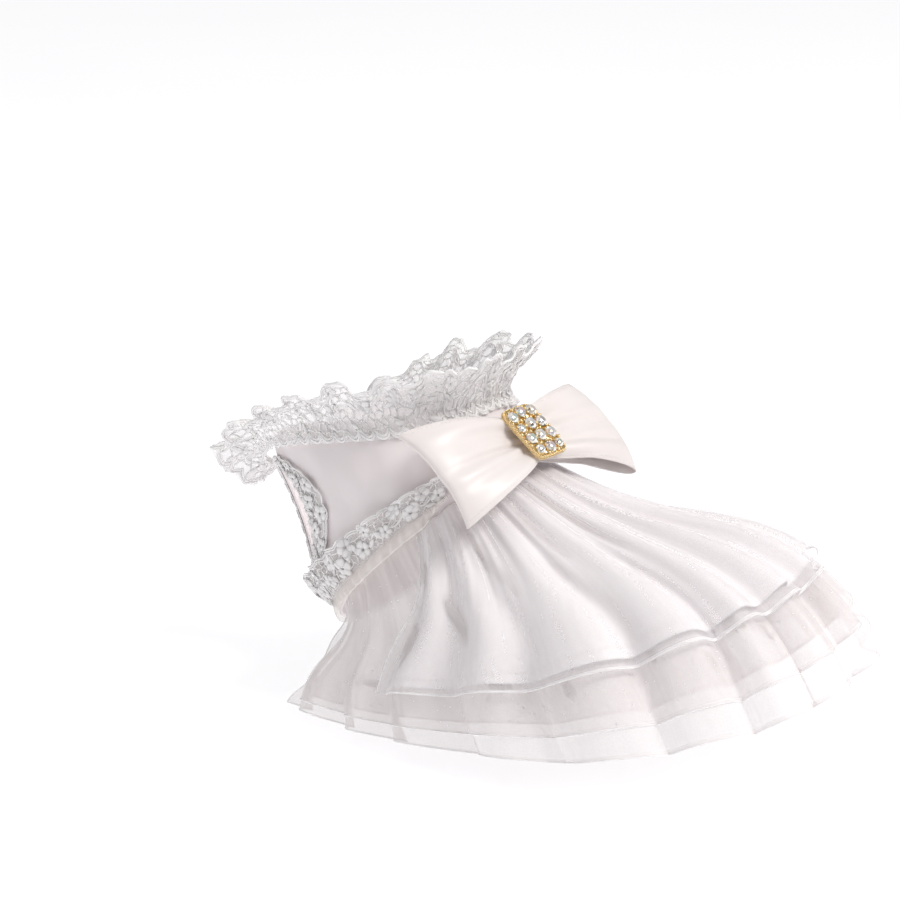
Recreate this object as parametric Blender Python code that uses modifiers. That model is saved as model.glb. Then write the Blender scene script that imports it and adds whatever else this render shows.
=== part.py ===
"""An occasion dress: satin bodice, three gathered skirts, lace ruffles, a bow and a set brooch.

The dress keeps its worn form. +X is the wearer's left, +Y runs to the train and +Z is up. The origin is on
the inner face of the bodice, on the ridge of the back. Angles round the body start at that ridge and grow
towards the left side, so the belly line is at 180 degrees.
"""

import math
from collections import namedtuple

import bmesh
import bpy
from mathutils import Vector

# Cloth and clearances
CLOTH_WALL = 0.0010
FIT_GAP = 0.0004
TRIM_GAP = 0.0009
LAYER_GAP = 0.0006

# Bodice, measured on its inner face
NECK_WIDTH = 0.104
NECK_DEPTH = 0.124
NECK_TILT = math.radians(82.0)
WAIST_WIDTH = 0.116
WAIST_DEPTH = 0.132
WAIST_TILT = math.radians(46.0)
BACK_LENGTH = 0.0373
BACK_SLOPE = math.radians(54.0)
BODICE_EASE = 0.004
EASE_ON_BACK = 0.2
BODICE_COLUMNS = 48
BODICE_ROWS = 5

# Armholes: centre angle, half sizes along the round and along the length, and their lace
ARMHOLE_ANGLE = math.radians(139.0)
ARMHOLE_HALF_WIDTH = 0.023
ARMHOLE_HALF_LENGTH = 0.028
ARMHOLE_PLACE = 0.50
ARMHOLE_LACE_WIDTH = 0.014
ARMHOLE_LACE_START = 0.06
ARMHOLE_SIDES = 28

# Closure strip under the belly, with its ends as shares of the length there
CLOSURE_WIDTH = 0.016
CLOSURE_START = 0.12
CLOSURE_END = 0.76

# Collar ruffle: width of the gathered lace, depth of its waves upwards, their share outwards, their count
COLLAR_WIDTH = 0.036
COLLAR_WAVE = 0.0036
COLLAR_WAVE_OUT = 0.5
COLLAR_RUFFLES = 20
COLLAR_ROWS = 4

# Waist ruffle, with the width at its ends as a share
WAIST_LACE_WIDTH = 0.020
WAIST_LACE_END = 0.55
WAIST_LACE_START = math.radians(50.0)
WAIST_LACE_WAVE = 0.0022
WAIST_LACE_RUFFLES = 15

# Skirts: half width at the hem, reach of the train behind the waist, fall below it
SKIRT_SPREAD = 0.116
SKIRT_TRAIN = 0.182
SKIRT_DROP = 0.119
SKIRT_START_OUT = 0.36
SKIRT_START_ALONG = 0.93

# Skirt section: handles of its curve as shares of the reach, and what the train adds to them
START_HANDLE = 0.28
START_HANDLE_TRAIN = 0.24
HEM_HANDLE = 0.33
HEM_LIFT = 0.02
HEM_LIFT_TRAIN = 0.26

# Folds: growth of their depth down the skirt, and their uneven spacing
LAYER_SPREAD = 0.0036
FOLD_DEPTH = 0.0062
FOLD_GATHER = 0.11
FOLD_GROWTH = 1.15
FOLDS = 15
FOLD_DRIFT = 0.22
FOLD_DRIFTS = 2.6
STEPS_PER_FOLD = 4

# Bow: one loop's reach, its width at the knot and at the turn, and its height
BOW_TILT = math.radians(48.0)
BOW_AHEAD = 0.010
BOW_CLEARANCE = 0.0052
LOOP_REACH = 0.064
LOOP_KNOT_WIDTH = 0.022
LOOP_TURN_WIDTH = 0.056
LOOP_HEIGHT = 0.014
LOOP_GATHER = 0.0009
LOOP_RIDE = 0.0085
LOOP_EDGE_FALL = 0.30
LOOP_TURN_CURL = 0.10
LOOP_STEPS = 18

# Brooch: plate, stone cups and stones
BROOCH_PITCH = math.radians(9.0)
BROOCH_PLATE = 0.0022
BROOCH_RIM = 0.0004
BROOCH_SINK = 0.16
BROOCH_RIDE = 0.20
STONE_DIAMETER = 0.0056
STONE_HEIGHT = 0.0026
STONE_GAP = 0.00012
STONE_SPACE_ACROSS = 0.0018
STONE_SPACE_ALONG = 0.0006
CUP_WALL = 0.0004
CUP_HEIGHT = 0.0013
CUP_SIDES = 10
STONE_FACETS = 8
STONE_BASE = 0.94
STONE_GIRDLE = 0.35
STONE_TABLE = 0.58
STONE_ROW_SPAN = 3.24
CORNER_SHARE = 0.6
SEAT_SHARE = 0.8

LAYER_STEP = CLOTH_WALL + LAYER_GAP
CUP_DIAMETER = STONE_DIAMETER + 2 * (STONE_GAP + CUP_WALL)
STONE_STEP_ACROSS = CUP_DIAMETER + STONE_SPACE_ACROSS
STONE_STEP_ALONG = CUP_DIAMETER + STONE_SPACE_ALONG
BROOCH_WIDTH = 2 * STONE_STEP_ACROSS + CUP_DIAMETER + 2 * BROOCH_RIM
BROOCH_LENGTH = STONE_ROW_SPAN * STONE_STEP_ALONG + CUP_DIAMETER + 2 * BROOCH_RIM
BROOCH_CORNER = CORNER_SHARE * CUP_DIAMETER
SEAT_FLOOR = SEAT_SHARE * BROOCH_PLATE

# Shares of the neck-to-waist length that the neckline is cut down, by angle from the ridge
NecklineRow = namedtuple("NecklineRow", "angle cut")
NECKLINE = (
    NecklineRow(0, 0.00),
    NecklineRow(80, 0.00),
    NecklineRow(120, 0.06),
    NecklineRow(150, 0.17),
    NecklineRow(180, 0.26),
)

# Collar section as shares of its width from the seam: the edge that falls, the bend and the free edge
CollarRow = namedtuple("CollarRow", "angle fall_out fall_up bend_out bend_up edge_out edge_up")
COLLAR_FORM = (
    CollarRow(0, 0.00, -0.14, 0.08, 0.30, 0.60, 0.70),
    CollarRow(45, 0.00, -0.28, 0.08, 0.28, 0.60, 0.60),
    CollarRow(90, 0.02, -0.28, 0.06, 0.34, 0.48, 0.46),
    CollarRow(135, 0.12, -0.20, 0.20, 0.26, 0.80, 0.04),
    CollarRow(180, 0.10, -0.16, 0.30, 0.16, 0.84, -0.28),
)

# Width of the armhole lace round the hole as shares, from the back edge over the top
TrimRow = namedtuple("TrimRow", "angle width")
ARMHOLE_LACE_FORM = (
    TrimRow(-180, 0.42),
    TrimRow(-90, 0.30),
    TrimRow(0, 1.00),
    TrimRow(90, 0.24),
    TrimRow(180, 0.42),
)

# Hem of the long skirt as shares of spread, train and drop, from the waist at the ridge
HemRow = namedtuple("HemRow", "angle side reach drop")
HEM_FORM = (
    HemRow(-118, -0.69, -0.49, 0.99),
    HemRow(-90, -0.93, -0.08, 0.97),
    HemRow(-62, -1.00, 0.36, 0.86),
    HemRow(-38, -0.85, 0.70, 0.67),
    HemRow(-15, -0.35, 0.96, 0.65),
    HemRow(8, 0.24, 0.99, 0.69),
    HemRow(28, 0.62, 0.87, 0.75),
    HemRow(52, 0.90, 0.60, 0.84),
    HemRow(72, 0.92, 0.27, 0.91),
    HemRow(92, 0.85, -0.12, 0.97),
    HemRow(118, 0.66, -0.50, 1.00),
)

# Each skirt: half of its angle round the waist, its layer, its length as a share, its rows of cells
SkirtRow = namedtuple("SkirtRow", "name half_angle layer length rows")
SKIRTS = (
    SkirtRow("petticoat", 116.0, 0, 0.90, 5),
    SkirtRow("underskirt", 118.0, 1, 1.00, 6),
    SkirtRow("overskirt", 88.0, 2, 0.77, 6),
)
LONGEST = SKIRTS[1]

# Bow loops: side, fall of the turn below the knot and its slide along the back, as shares of the reach
LoopRow = namedtuple("LoopRow", "name side droop slide")
LOOPS = (
    LoopRow("bow_loop_left", 1, 0.20, 0.00),
    LoopRow("bow_loop_right", -1, 0.05, 0.13),
)

# Stones: column across, row along, and size, as shares of the grid step and the stone's diameter
StoneRow = namedtuple("StoneRow", "across along size")
STONES = (
    StoneRow(-1.00, -1.50, 1.00),
    StoneRow(0.00, -1.62, 1.00),
    StoneRow(1.00, -1.40, 1.00),
    StoneRow(-1.00, -0.46, 1.00),
    StoneRow(0.00, -0.56, 1.06),
    StoneRow(1.02, -0.42, 0.78),
    StoneRow(-1.02, 0.56, 1.00),
    StoneRow(0.00, 0.52, 1.04),
    StoneRow(0.98, 0.54, 1.00),
    StoneRow(-0.94, 1.52, 0.80),
    StoneRow(0.02, 1.60, 1.00),
    StoneRow(0.96, 1.50, 0.84),
)

PARTS = bpy.data.collections.new("dog_dress")
CUTTERS = bpy.data.collections.new("cutters")


def clear_scene():
    """Start from an empty scene that holds the two collections."""
    for obj in list(bpy.data.objects):
        bpy.data.objects.remove(obj, do_unlink=True)
    for collection in (PARTS, CUTTERS):
        bpy.context.scene.collection.children.link(collection)


def material(name, colour, roughness, metallic=0.0):
    """A plain Principled material."""
    made = bpy.data.materials.new(name)
    made.use_nodes = True
    shader = made.node_tree.nodes["Principled BSDF"]
    shader.inputs["Base Color"].default_value = (*colour, 1.0)
    shader.inputs["Roughness"].default_value = roughness
    shader.inputs["Metallic"].default_value = metallic
    return made


def read_table(rows, degrees):
    """The columns of a table at an angle, on a smooth curve through its rows."""
    last = len(rows) - 1
    index = 0
    while index < last - 1 and degrees > rows[index + 1].angle:
        index += 1
    low, high = rows[index], rows[index + 1]
    before, after = rows[max(index - 1, 0)], rows[min(index + 2, last)]
    step = high.angle - low.angle
    t = min(max((degrees - low.angle) / step, 0.0), 1.0)
    values = []
    for column in range(1, len(low)):
        slope_low = (high[column] - before[column]) / (high.angle - before.angle)
        slope_high = (after[column] - low[column]) / (after.angle - low.angle)
        values.append(
            (2 * t**3 - 3 * t**2 + 1) * low[column]
            + (t**3 - 2 * t**2 + t) * step * slope_low
            + (3 * t**2 - 2 * t**3) * high[column]
            + (t**3 - t**2) * step * slope_high
        )
    return values


def along_and_out(tilt):
    """Unit vectors of a ring tilted about X: along the body, and out of the back."""
    along = Vector((0.0, math.cos(tilt), -math.sin(tilt)))
    out = Vector((0.0, math.sin(tilt), math.cos(tilt)))
    return along, out


def body_point(run, angle, out):
    """A point at a share from neck to waist, an angle, and a distance out of the bodice's inner face."""
    tilt = NECK_TILT + (WAIST_TILT - NECK_TILT) * run
    half_width = (NECK_WIDTH + (WAIST_WIDTH - NECK_WIDTH) * run) / 2
    half_depth = (NECK_DEPTH + (WAIST_DEPTH - NECK_DEPTH) * run) / 2
    ease = BODICE_EASE * math.sin(math.pi * min(max(run, 0.0), 1.0))
    back_way = Vector((0.0, math.cos(BACK_SLOPE), -math.sin(BACK_SLOPE)))
    neck_centre = -along_and_out(NECK_TILT)[1] * (NECK_DEPTH / 2)
    waist_centre = back_way * BACK_LENGTH - along_and_out(WAIST_TILT)[1] * (WAIST_DEPTH / 2)
    centre = neck_centre.lerp(waist_centre, run)
    across = math.sin(angle) * (half_width + ease + out)
    ease_up = ease * (EASE_ON_BACK + (1.0 - EASE_ON_BACK) * math.sin(angle / 2) ** 2)
    up = math.cos(angle) * (half_depth + ease_up + out)
    return centre + Vector((across, 0.0, 0.0)) + along_and_out(tilt)[1] * up - ORIGIN


ORIGIN = Vector((0.0, 0.0, 0.0))
ORIGIN = body_point(0.5, 0.0, 0.0)


def normal_at(surface, u, v, step=1e-3):
    """The unit normal of surface(u, v)."""
    along_u = surface(u + step, v) - surface(u - step, v)
    along_v = surface(u, v + step) - surface(u, v - step)
    return along_u.cross(along_v).normalized()


def steps(first, last, count):
    """Evenly spaced values from first to last, both included."""
    return [first + (last - first) * index / count for index in range(count + 1)]


def add_object(name, mesh, finish, collection=PARTS):
    """Link a mesh as an object with its material."""
    obj = bpy.data.objects.new(name, mesh)
    if finish:
        mesh.materials.append(finish)
    collection.objects.link(obj)
    return obj


def sheet(name, surface, us, vs, finish, round_u=False, gaps=()):
    """A wall of cloth over surface(u, v), thickened outwards, with the listed cells left open."""
    form = bmesh.new()
    columns = len(us) - 1
    grid = [[form.verts.new(surface(u, v)) for v in vs] for u in (us[:-1] if round_u else us)]
    for i in range(columns):
        following = (i + 1) % len(grid)
        for j in range(len(vs) - 1):
            if (i, j) not in gaps:
                form.faces.new((grid[i][j], grid[following][j], grid[following][j + 1], grid[i][j + 1]))
    mesh = bpy.data.meshes.new(name)
    form.to_mesh(mesh)
    form.free()
    mesh.shade_smooth()
    obj = add_object(name, mesh, finish)
    wall = obj.modifiers.new("wall", "SOLIDIFY")
    wall.thickness = CLOTH_WALL
    wall.offset = 1.0
    return obj


def net_gaps(columns, rows):
    """Every other cell of two neighbouring rows, staggered, as the open eyes of a lace net."""
    eyes = set()
    for place, row in enumerate(rows):
        eyes |= {(column, row) for column in range(2 * place + 1, columns - 1, STEPS_PER_FOLD)}
    return eyes


def neckline(angle):
    """Share of the length at which the bodice's top edge lies."""
    turned = math.degrees(math.acos(max(-1.0, min(1.0, math.cos(angle)))))
    return read_table(NECKLINE, turned)[0]


def side_length(angle):
    """Straight length of the bodice from neck to waist at an angle."""
    return (body_point(1.0, angle, 0.0) - body_point(0.0, angle, 0.0)).length


def armhole_point(side, turn, grow, out):
    """A point round an armhole, grown by a distance; turn 0 faces the back, 90 degrees the neck."""
    centre_radius = (NECK_WIDTH + WAIST_WIDTH) / 4
    swing = math.cos(turn) * (ARMHOLE_HALF_WIDTH + grow) / centre_radius
    rise = math.sin(turn) * (ARMHOLE_HALF_LENGTH + grow) / side_length(ARMHOLE_ANGLE)
    return body_point(ARMHOLE_PLACE - rise, side * (ARMHOLE_ANGLE - swing), out)


def armhole_cutter(name, side):
    """A plug through the wall in the armhole's outline."""
    form = bmesh.new()
    reach = 4 * CLOTH_WALL
    turns = steps(0.0, 2 * math.pi, ARMHOLE_SIDES)[:-1]
    inner = [form.verts.new(armhole_point(side, turn, 0.0, -reach)) for turn in turns]
    outer = [form.verts.new(armhole_point(side, turn, 0.0, reach)) for turn in turns]
    middle = body_point(ARMHOLE_PLACE, side * ARMHOLE_ANGLE, 0.0)
    outward = (body_point(ARMHOLE_PLACE, side * ARMHOLE_ANGLE, reach) - middle).normalized()
    caps = (form.verts.new(middle - outward * 3 * reach), form.verts.new(middle + outward * 3 * reach))
    for i, vertex in enumerate(inner):
        following = (i + 1) % len(turns)
        form.faces.new((vertex, inner[following], outer[following], outer[i]))
        form.faces.new((caps[0], inner[following], vertex))
        form.faces.new((caps[1], outer[i], outer[following]))
    bmesh.ops.recalc_face_normals(form, faces=form.faces)
    mesh = bpy.data.meshes.new(name)
    form.to_mesh(mesh)
    form.free()
    cutter = add_object(name, mesh, None, CUTTERS)
    cutter.hide_render = True
    cutter.display_type = "WIRE"
    return cutter


def build_bodice(satin):
    """The satin body with its scooped neckline and two armholes."""

    def wall(angle, share):
        top = neckline(angle)
        return body_point(top + (1.0 - top) * share, angle, 0.0)

    turns = steps(-math.pi, math.pi, BODICE_COLUMNS)
    obj = sheet("bodice", wall, turns, steps(0.0, 1.0, BODICE_ROWS), satin, round_u=True)
    for name, side in (("armhole_left", 1), ("armhole_right", -1)):
        cut = obj.modifiers.new(name, "BOOLEAN")
        cut.operation = "DIFFERENCE"
        cut.solver = "EXACT"
        cut.object = armhole_cutter(name + "_cutter", side)


def build_belly_closure(satin):
    """The plain closure strip on the belly line."""
    half = CLOSURE_WIDTH / (WAIST_WIDTH + NECK_WIDTH) * 2

    def strip(angle, share):
        top = neckline(math.pi)
        return body_point(top + (1.0 - top) * share, angle, CLOTH_WALL + TRIM_GAP)

    turns = steps(math.pi - half, math.pi + half, 4)
    sheet("belly_closure", strip, turns, steps(CLOSURE_START, CLOSURE_END, 4), satin)


def build_armhole_trims(lace):
    """Flat lace round each armhole, widest behind it."""
    for name, side in (("armhole_trim_left", 1), ("armhole_trim_right", -1)):

        def band(turn, share, side=side):
            facing = math.degrees(math.atan2(math.sin(turn), math.cos(turn)))
            width = read_table(ARMHOLE_LACE_FORM, facing)[0] * ARMHOLE_LACE_WIDTH
            return armhole_point(side, turn, width * share, CLOTH_WALL + TRIM_GAP)

        turns = steps(0.0, 2 * math.pi, ARMHOLE_SIDES)
        if side > 0:
            turns.reverse()
        sheet(name, band, turns, steps(ARMHOLE_LACE_START, 1.0, 2), lace, round_u=True)


def build_collar(lace):
    """The gathered collar: it stands at the nape and rolls over on the sides and chest."""
    columns = COLLAR_RUFFLES * STEPS_PER_FOLD
    seat = CLOTH_WALL + FIT_GAP

    def ruffle(angle, share):
        turned = math.degrees(math.acos(max(-1.0, min(1.0, math.cos(angle)))))
        fall_out, fall_up, bend_out, bend_up, edge_out, edge_up = read_table(COLLAR_FORM, turned)
        rest = 1.0 - share
        out = rest**2 * fall_out + 2 * share * rest * bend_out + share**2 * edge_out
        up = rest**2 * fall_up + 2 * share * rest * bend_up + share**2 * edge_up
        wave = math.cos(COLLAR_RUFFLES * angle) * COLLAR_WAVE * share
        top = neckline(angle) + max(-up, 0.0) * COLLAR_WIDTH / side_length(angle)
        up = max(up, 0.0)
        seam = body_point(top, angle, seat)
        away = (body_point(top, angle, seat + COLLAR_WIDTH) - seam).normalized()
        rise = -along_and_out(NECK_TILT)[0]
        outwards = out * COLLAR_WIDTH + wave * COLLAR_WAVE_OUT
        return seam + away * outwards + rise * (up * COLLAR_WIDTH + wave)

    turns = steps(-math.pi, math.pi, columns)
    eyes = net_gaps(columns, (2, 1))
    rows = steps(0.0, 1.0, COLLAR_ROWS)
    obj = sheet("collar_ruffle", ruffle, turns, rows, lace, round_u=True, gaps=eyes)
    obj.data.flip_normals()


def build_waist_trim(lace):
    """The lace frill along the waist seam, from one side of the bow under the belly to the other."""
    columns = WAIST_LACE_RUFFLES * STEPS_PER_FOLD
    clear = CLOTH_WALL + TRIM_GAP
    above_skirts = 2 * LAYER_STEP + FOLD_DEPTH * FOLD_GATHER + TRIM_GAP

    def frill(angle, share):
        place = (angle - WAIST_LACE_START) / (2 * math.pi - 2 * WAIST_LACE_START)
        full = WAIST_LACE_END + (1.0 - WAIST_LACE_END) * math.sin(math.pi * place)
        wave = (1 + math.cos(2 * math.pi * WAIST_LACE_RUFFLES * place)) * WAIST_LACE_WAVE
        rise = (above_skirts + share * full * WAIST_LACE_WIDTH) / side_length(angle)
        over_trims = (CLOTH_WALL + TRIM_GAP) * min(1.0, 2.0 * share)
        lift = clear + over_trims + wave * share
        return body_point(1.0 - rise, angle, lift)

    turns = steps(WAIST_LACE_START, 2 * math.pi - WAIST_LACE_START, columns)
    obj = sheet("waist_trim", frill, turns, steps(0.0, 1.0, 2), lace)
    obj.data.flip_normals()


def hem_point(angle):
    """The long hem's guide line, before its folds."""
    side, reach, drop = read_table(HEM_FORM, math.degrees(angle))
    fall = Vector((side * SKIRT_SPREAD, reach * SKIRT_TRAIN, -drop * SKIRT_DROP))
    return body_point(1.0, 0.0, 0.0) + fall


def skirt_guide(angle, run):
    """The smooth skirt without folds: run 0 is the waist seam and 1 the long hem."""
    seam = 1.0 + (FOLD_DEPTH * FOLD_GATHER + FIT_GAP) / side_length(angle)
    waist = body_point(seam, angle, LAYER_STEP)
    hem = hem_point(angle)
    along, _ = along_and_out(WAIST_TILT)
    outward = (body_point(seam, angle, 2 * LAYER_STEP) - waist).normalized()
    reach = (hem - waist).length
    back = math.cos(angle / 2) ** 2
    leave = outward * SKIRT_START_OUT + along * SKIRT_START_ALONG
    first = waist + leave * reach * (START_HANDLE + START_HANDLE_TRAIN * back)
    lift = reach * (HEM_LIFT + HEM_LIFT_TRAIN * back)
    second = hem + (waist - hem) * HEM_HANDLE + Vector((0.0, 0.0, lift))
    rest = 1.0 - run
    return (
        waist * rest**3 + first * (3 * rest**2 * run) + second * (3 * rest * run**2) + hem * run**3
    )


def fold_wave(angle):
    """Height of the folds from -1 to 1, a little uneven round the skirt."""
    place = angle / math.radians(2 * LONGEST.half_angle)
    drift = FOLD_DRIFT * math.sin(2 * math.pi * FOLD_DRIFTS * place)
    return math.cos(2 * math.pi * (FOLDS * place + drift))


def build_skirts(finishes):
    """Three gathered skirts, nested so that their folds lie in each other."""
    for row in SKIRTS:
        half_angle = math.radians(row.half_angle)

        def cloth(angle, share, row=row):
            run = share * row.length
            depth = FOLD_DEPTH * (FOLD_GATHER + (1.0 - FOLD_GATHER) * run**FOLD_GROWTH)
            nest = (row.layer - 1) * (LAYER_STEP + LAYER_SPREAD * run)
            return skirt_guide(angle, run) + normal_at(skirt_guide, angle, run) * (
                nest + depth * fold_wave(angle)
            )

        columns = int(FOLDS * STEPS_PER_FOLD * row.half_angle / LONGEST.half_angle)
        turns = steps(-half_angle, half_angle, columns)
        sheet(row.name, cloth, turns, steps(0.0, 1.0, row.rows), finishes[row.name])


def bow_frame():
    """The bow's centre on the bodice's outer face, with its along and out directions."""
    along, out = along_and_out(BOW_TILT)
    centre = body_point(1.0 - BOW_AHEAD / BACK_LENGTH, 0.0, CLOTH_WALL)
    return centre, along, out


def build_bow(satin):
    """Two folded loops that meet under the brooch."""
    centre, along, out = bow_frame()
    parting = CLOTH_WALL + FIT_GAP
    for row in LOOPS:

        def band(turn, across, row=row):
            reach = math.sin(math.pi * turn) ** 0.8 if 0.0 < turn < 1.0 else 0.0
            half = (LOOP_KNOT_WIDTH + (LOOP_TURN_WIDTH - LOOP_KNOT_WIDTH) * reach**0.8) / 2
            crown = LOOP_HEIGHT * reach * (1.0 - LOOP_EDGE_FALL * across**2)
            upper = (1.0 + math.cos(math.pi * turn)) / 2
            gather = LOOP_GATHER * math.cos(3 * math.pi * across) * (1.0 - reach)
            height = BOW_CLEARANCE + gather + parting * (2 * upper - 1.0) + crown * upper
            height += LOOP_RIDE * max(across, 0.0) * min(1.0, 0.12 + 2.1 * reach) * (1.0 - 0.5 * reach)
            curl = LOOP_TURN_CURL * LOOP_TURN_WIDTH * across**2
            height -= (row.droop * LOOP_REACH + curl) * reach**2
            slide = half * across + row.slide * LOOP_REACH * reach
            x = row.side * (CLOTH_WALL + LOOP_REACH * reach)
            return centre + Vector((x, 0.0, 0.0)) + along * slide + out * height

        obj = sheet(row.name, band, steps(0.0, 1.0, LOOP_STEPS), steps(-1.0, 1.0, 6), satin)
        if row.side < 0:
            obj.data.flip_normals()


def stone_places():
    """Each stone's node name, place across and along the plate, and radius."""
    places = []
    for index, row in enumerate(STONES, start=1):
        radius = row.size * STONE_DIAMETER / 2
        x, y = row.across * STONE_STEP_ACROSS, row.along * STONE_STEP_ALONG
        places.append((f"stone_{index:02d}", x, y, radius))
    return places


def brooch_frame():
    """The brooch's place on top of the bow, and its axes across, along and out of the back."""
    centre, along, out = bow_frame()
    seat = BOW_CLEARANCE + 3 * CLOTH_WALL + LOOP_HEIGHT * BROOCH_SINK + LOOP_RIDE * BROOCH_RIDE
    place = centre + out * seat
    along, out = along_and_out(BOW_TILT - BROOCH_PITCH)
    axes = (Vector((1.0, 0.0, 0.0)), along, out)
    return place, axes


def placed(place, axes, x, y, z):
    """A point given across, along and out of the brooch."""
    return place + axes[0] * x + axes[1] * y + axes[2] * z


def prism(name, outline, low, high, place, axes, collection, finish):
    """A solid between two heights over a round of (x, y) points."""
    form = bmesh.new()
    bottom = [form.verts.new(placed(place, axes, x, y, low)) for x, y in outline]
    top = [form.verts.new(placed(place, axes, x, y, high)) for x, y in outline]
    form.faces.new(list(reversed(bottom)))
    form.faces.new(top)
    for i in range(len(outline)):
        following = (i + 1) % len(outline)
        form.faces.new((bottom[i], bottom[following], top[following], top[i]))
    bmesh.ops.recalc_face_normals(form, faces=form.faces)
    mesh = bpy.data.meshes.new(name)
    form.to_mesh(mesh)
    form.free()
    return add_object(name, mesh, finish, collection)


def round_outline(x, y, radius, sides):
    """Points of a regular outline about a centre."""
    turns = steps(0.0, 2 * math.pi, sides)[:-1]
    return [(x + radius * math.cos(turn), y + radius * math.sin(turn)) for turn in turns]


def plate_outline():
    """A rectangle with rounded corners, four points to a corner."""
    half_x, half_y = BROOCH_WIDTH / 2 - BROOCH_CORNER, BROOCH_LENGTH / 2 - BROOCH_CORNER
    points = []
    for quarter, (sign_x, sign_y) in enumerate(((1, 1), (-1, 1), (-1, -1), (1, -1))):
        for turn in steps(quarter * math.pi / 2, (quarter + 1) * math.pi / 2, 3):
            x = sign_x * half_x + BROOCH_CORNER * math.cos(turn)
            y = sign_y * half_y + BROOCH_CORNER * math.sin(turn)
            points.append((x, y))
    return points


def build_brooch(gold, crystal):
    """A gold plate with a raised cup for each stone, and the stones in their cups."""
    place, axes = brooch_frame()
    setting = prism("brooch_setting", plate_outline(), 0.0, BROOCH_PLATE, place, axes, PARTS, gold)
    for name, x, y, radius in stone_places():
        cup_outline = round_outline(x, y, radius + STONE_GAP + CUP_WALL, CUP_SIDES)
        seat_outline = round_outline(x, y, radius + STONE_GAP, CUP_SIDES)
        cup_low, cup_high = BROOCH_PLATE / 2, BROOCH_PLATE + CUP_HEIGHT
        cup = prism(name + "_cup", cup_outline, cup_low, cup_high, place, axes, CUTTERS, None)
        seat_high = cup_high + CUP_HEIGHT
        seat = prism(name + "_seat", seat_outline, SEAT_FLOOR, seat_high, place, axes, CUTTERS, None)
        for helper, way in ((cup, "UNION"), (seat, "DIFFERENCE")):
            helper.hide_render = True
            helper.display_type = "WIRE"
            join = setting.modifiers.new(helper.name, "BOOLEAN")
            join.operation = way
            join.solver = "EXACT"
            join.object = helper
        build_stone(name, x, y, radius, place, axes, crystal)


def build_stone(name, x, y, radius, place, axes, crystal):
    """A flat-backed stone: straight girdle, facets up to a table."""
    base = SEAT_FLOOR + STONE_GAP
    girdle = base + STONE_HEIGHT * STONE_GIRDLE
    table = base + STONE_HEIGHT * radius * 2 / STONE_DIAMETER
    form = bmesh.new()
    levels = ((radius * STONE_BASE, base, 0.0), (radius, girdle, 0.0), (radius * STONE_TABLE, table, 0.5))
    rings = []
    for ring_radius, height, twist in levels:
        turns = [(k + twist) * 2 * math.pi / STONE_FACETS for k in range(STONE_FACETS)]
        rings.append(
            [
                form.verts.new(
                    placed(
                        place,
                        axes,
                        x + ring_radius * math.cos(turn),
                        y + ring_radius * math.sin(turn),
                        height,
                    )
                )
                for turn in turns
            ]
        )
    form.faces.new(list(reversed(rings[0])))
    form.faces.new(rings[2])
    for k in range(STONE_FACETS):
        following = (k + 1) % STONE_FACETS
        form.faces.new((rings[0][k], rings[0][following], rings[1][following], rings[1][k]))
        form.faces.new((rings[1][k], rings[1][following], rings[2][k]))
        form.faces.new((rings[1][following], rings[2][following], rings[2][k]))
    bmesh.ops.recalc_face_normals(form, faces=form.faces)
    mesh = bpy.data.meshes.new(name)
    form.to_mesh(mesh)
    form.free()
    add_object(name, mesh, crystal)


def main():
    """Build the dress."""
    clear_scene()
    satin = material("ivory_satin", (0.90, 0.87, 0.83), 0.35)
    lace = material("white_lace", (0.93, 0.92, 0.92), 0.8)
    organza = material("white_organza", (0.92, 0.91, 0.92), 0.6)
    tulle = material("glitter_tulle", (0.88, 0.86, 0.87), 0.7)
    gold = material("gold_plate", (0.83, 0.62, 0.28), 0.25, 1.0)
    crystal = material("clear_crystal", (0.95, 0.96, 0.98), 0.05)
    build_bodice(satin)
    build_belly_closure(satin)
    build_collar(lace)
    build_armhole_trims(lace)
    build_waist_trim(lace)
    build_skirts({"petticoat": tulle, "underskirt": organza, "overskirt": satin})
    build_bow(satin)
    build_brooch(gold, crystal)


main()
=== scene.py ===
"""Looks of an occasion dress: satin, organza, tulle, net lace and a stone-set brooch on its measured form.

Lengths are in metres. +X is the left side of the dress, +Y runs to the train and +Z is up. Angles round the
body start at the ridge of the back and grow to the left. Shares run from 0 to 1 down or out of a piece.
"""

from __future__ import annotations

import logging
import math
from dataclasses import dataclass, field
from enum import Enum
from typing import Callable, Mapping, NamedTuple, Sequence

import bmesh
import bpy
import numpy as np
from bpy.types import Material, Mesh, Node, NodeSocket, NodeTree, Object
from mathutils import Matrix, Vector

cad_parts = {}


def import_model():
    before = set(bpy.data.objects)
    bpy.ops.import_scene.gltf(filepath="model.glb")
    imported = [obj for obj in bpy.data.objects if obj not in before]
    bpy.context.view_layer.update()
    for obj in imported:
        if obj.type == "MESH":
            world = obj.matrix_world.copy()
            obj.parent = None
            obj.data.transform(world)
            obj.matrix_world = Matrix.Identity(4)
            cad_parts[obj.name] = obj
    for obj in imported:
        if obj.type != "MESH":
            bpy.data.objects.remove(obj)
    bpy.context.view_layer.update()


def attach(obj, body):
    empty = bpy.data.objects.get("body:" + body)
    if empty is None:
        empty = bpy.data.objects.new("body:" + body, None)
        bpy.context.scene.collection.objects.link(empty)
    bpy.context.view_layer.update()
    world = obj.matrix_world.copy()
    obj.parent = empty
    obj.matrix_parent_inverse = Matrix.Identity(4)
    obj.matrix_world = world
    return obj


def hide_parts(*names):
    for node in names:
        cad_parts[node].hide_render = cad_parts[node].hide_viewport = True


LOG = logging.getLogger("dress")
Array = np.ndarray
TURN = 2 * math.pi


class Held(Enum):
    """How a cloth is held on the dress."""

    GATHERED = "gathered"
    STRETCHED = "stretched"
    FOLDED = "folded"
    LAID = "laid"


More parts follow.
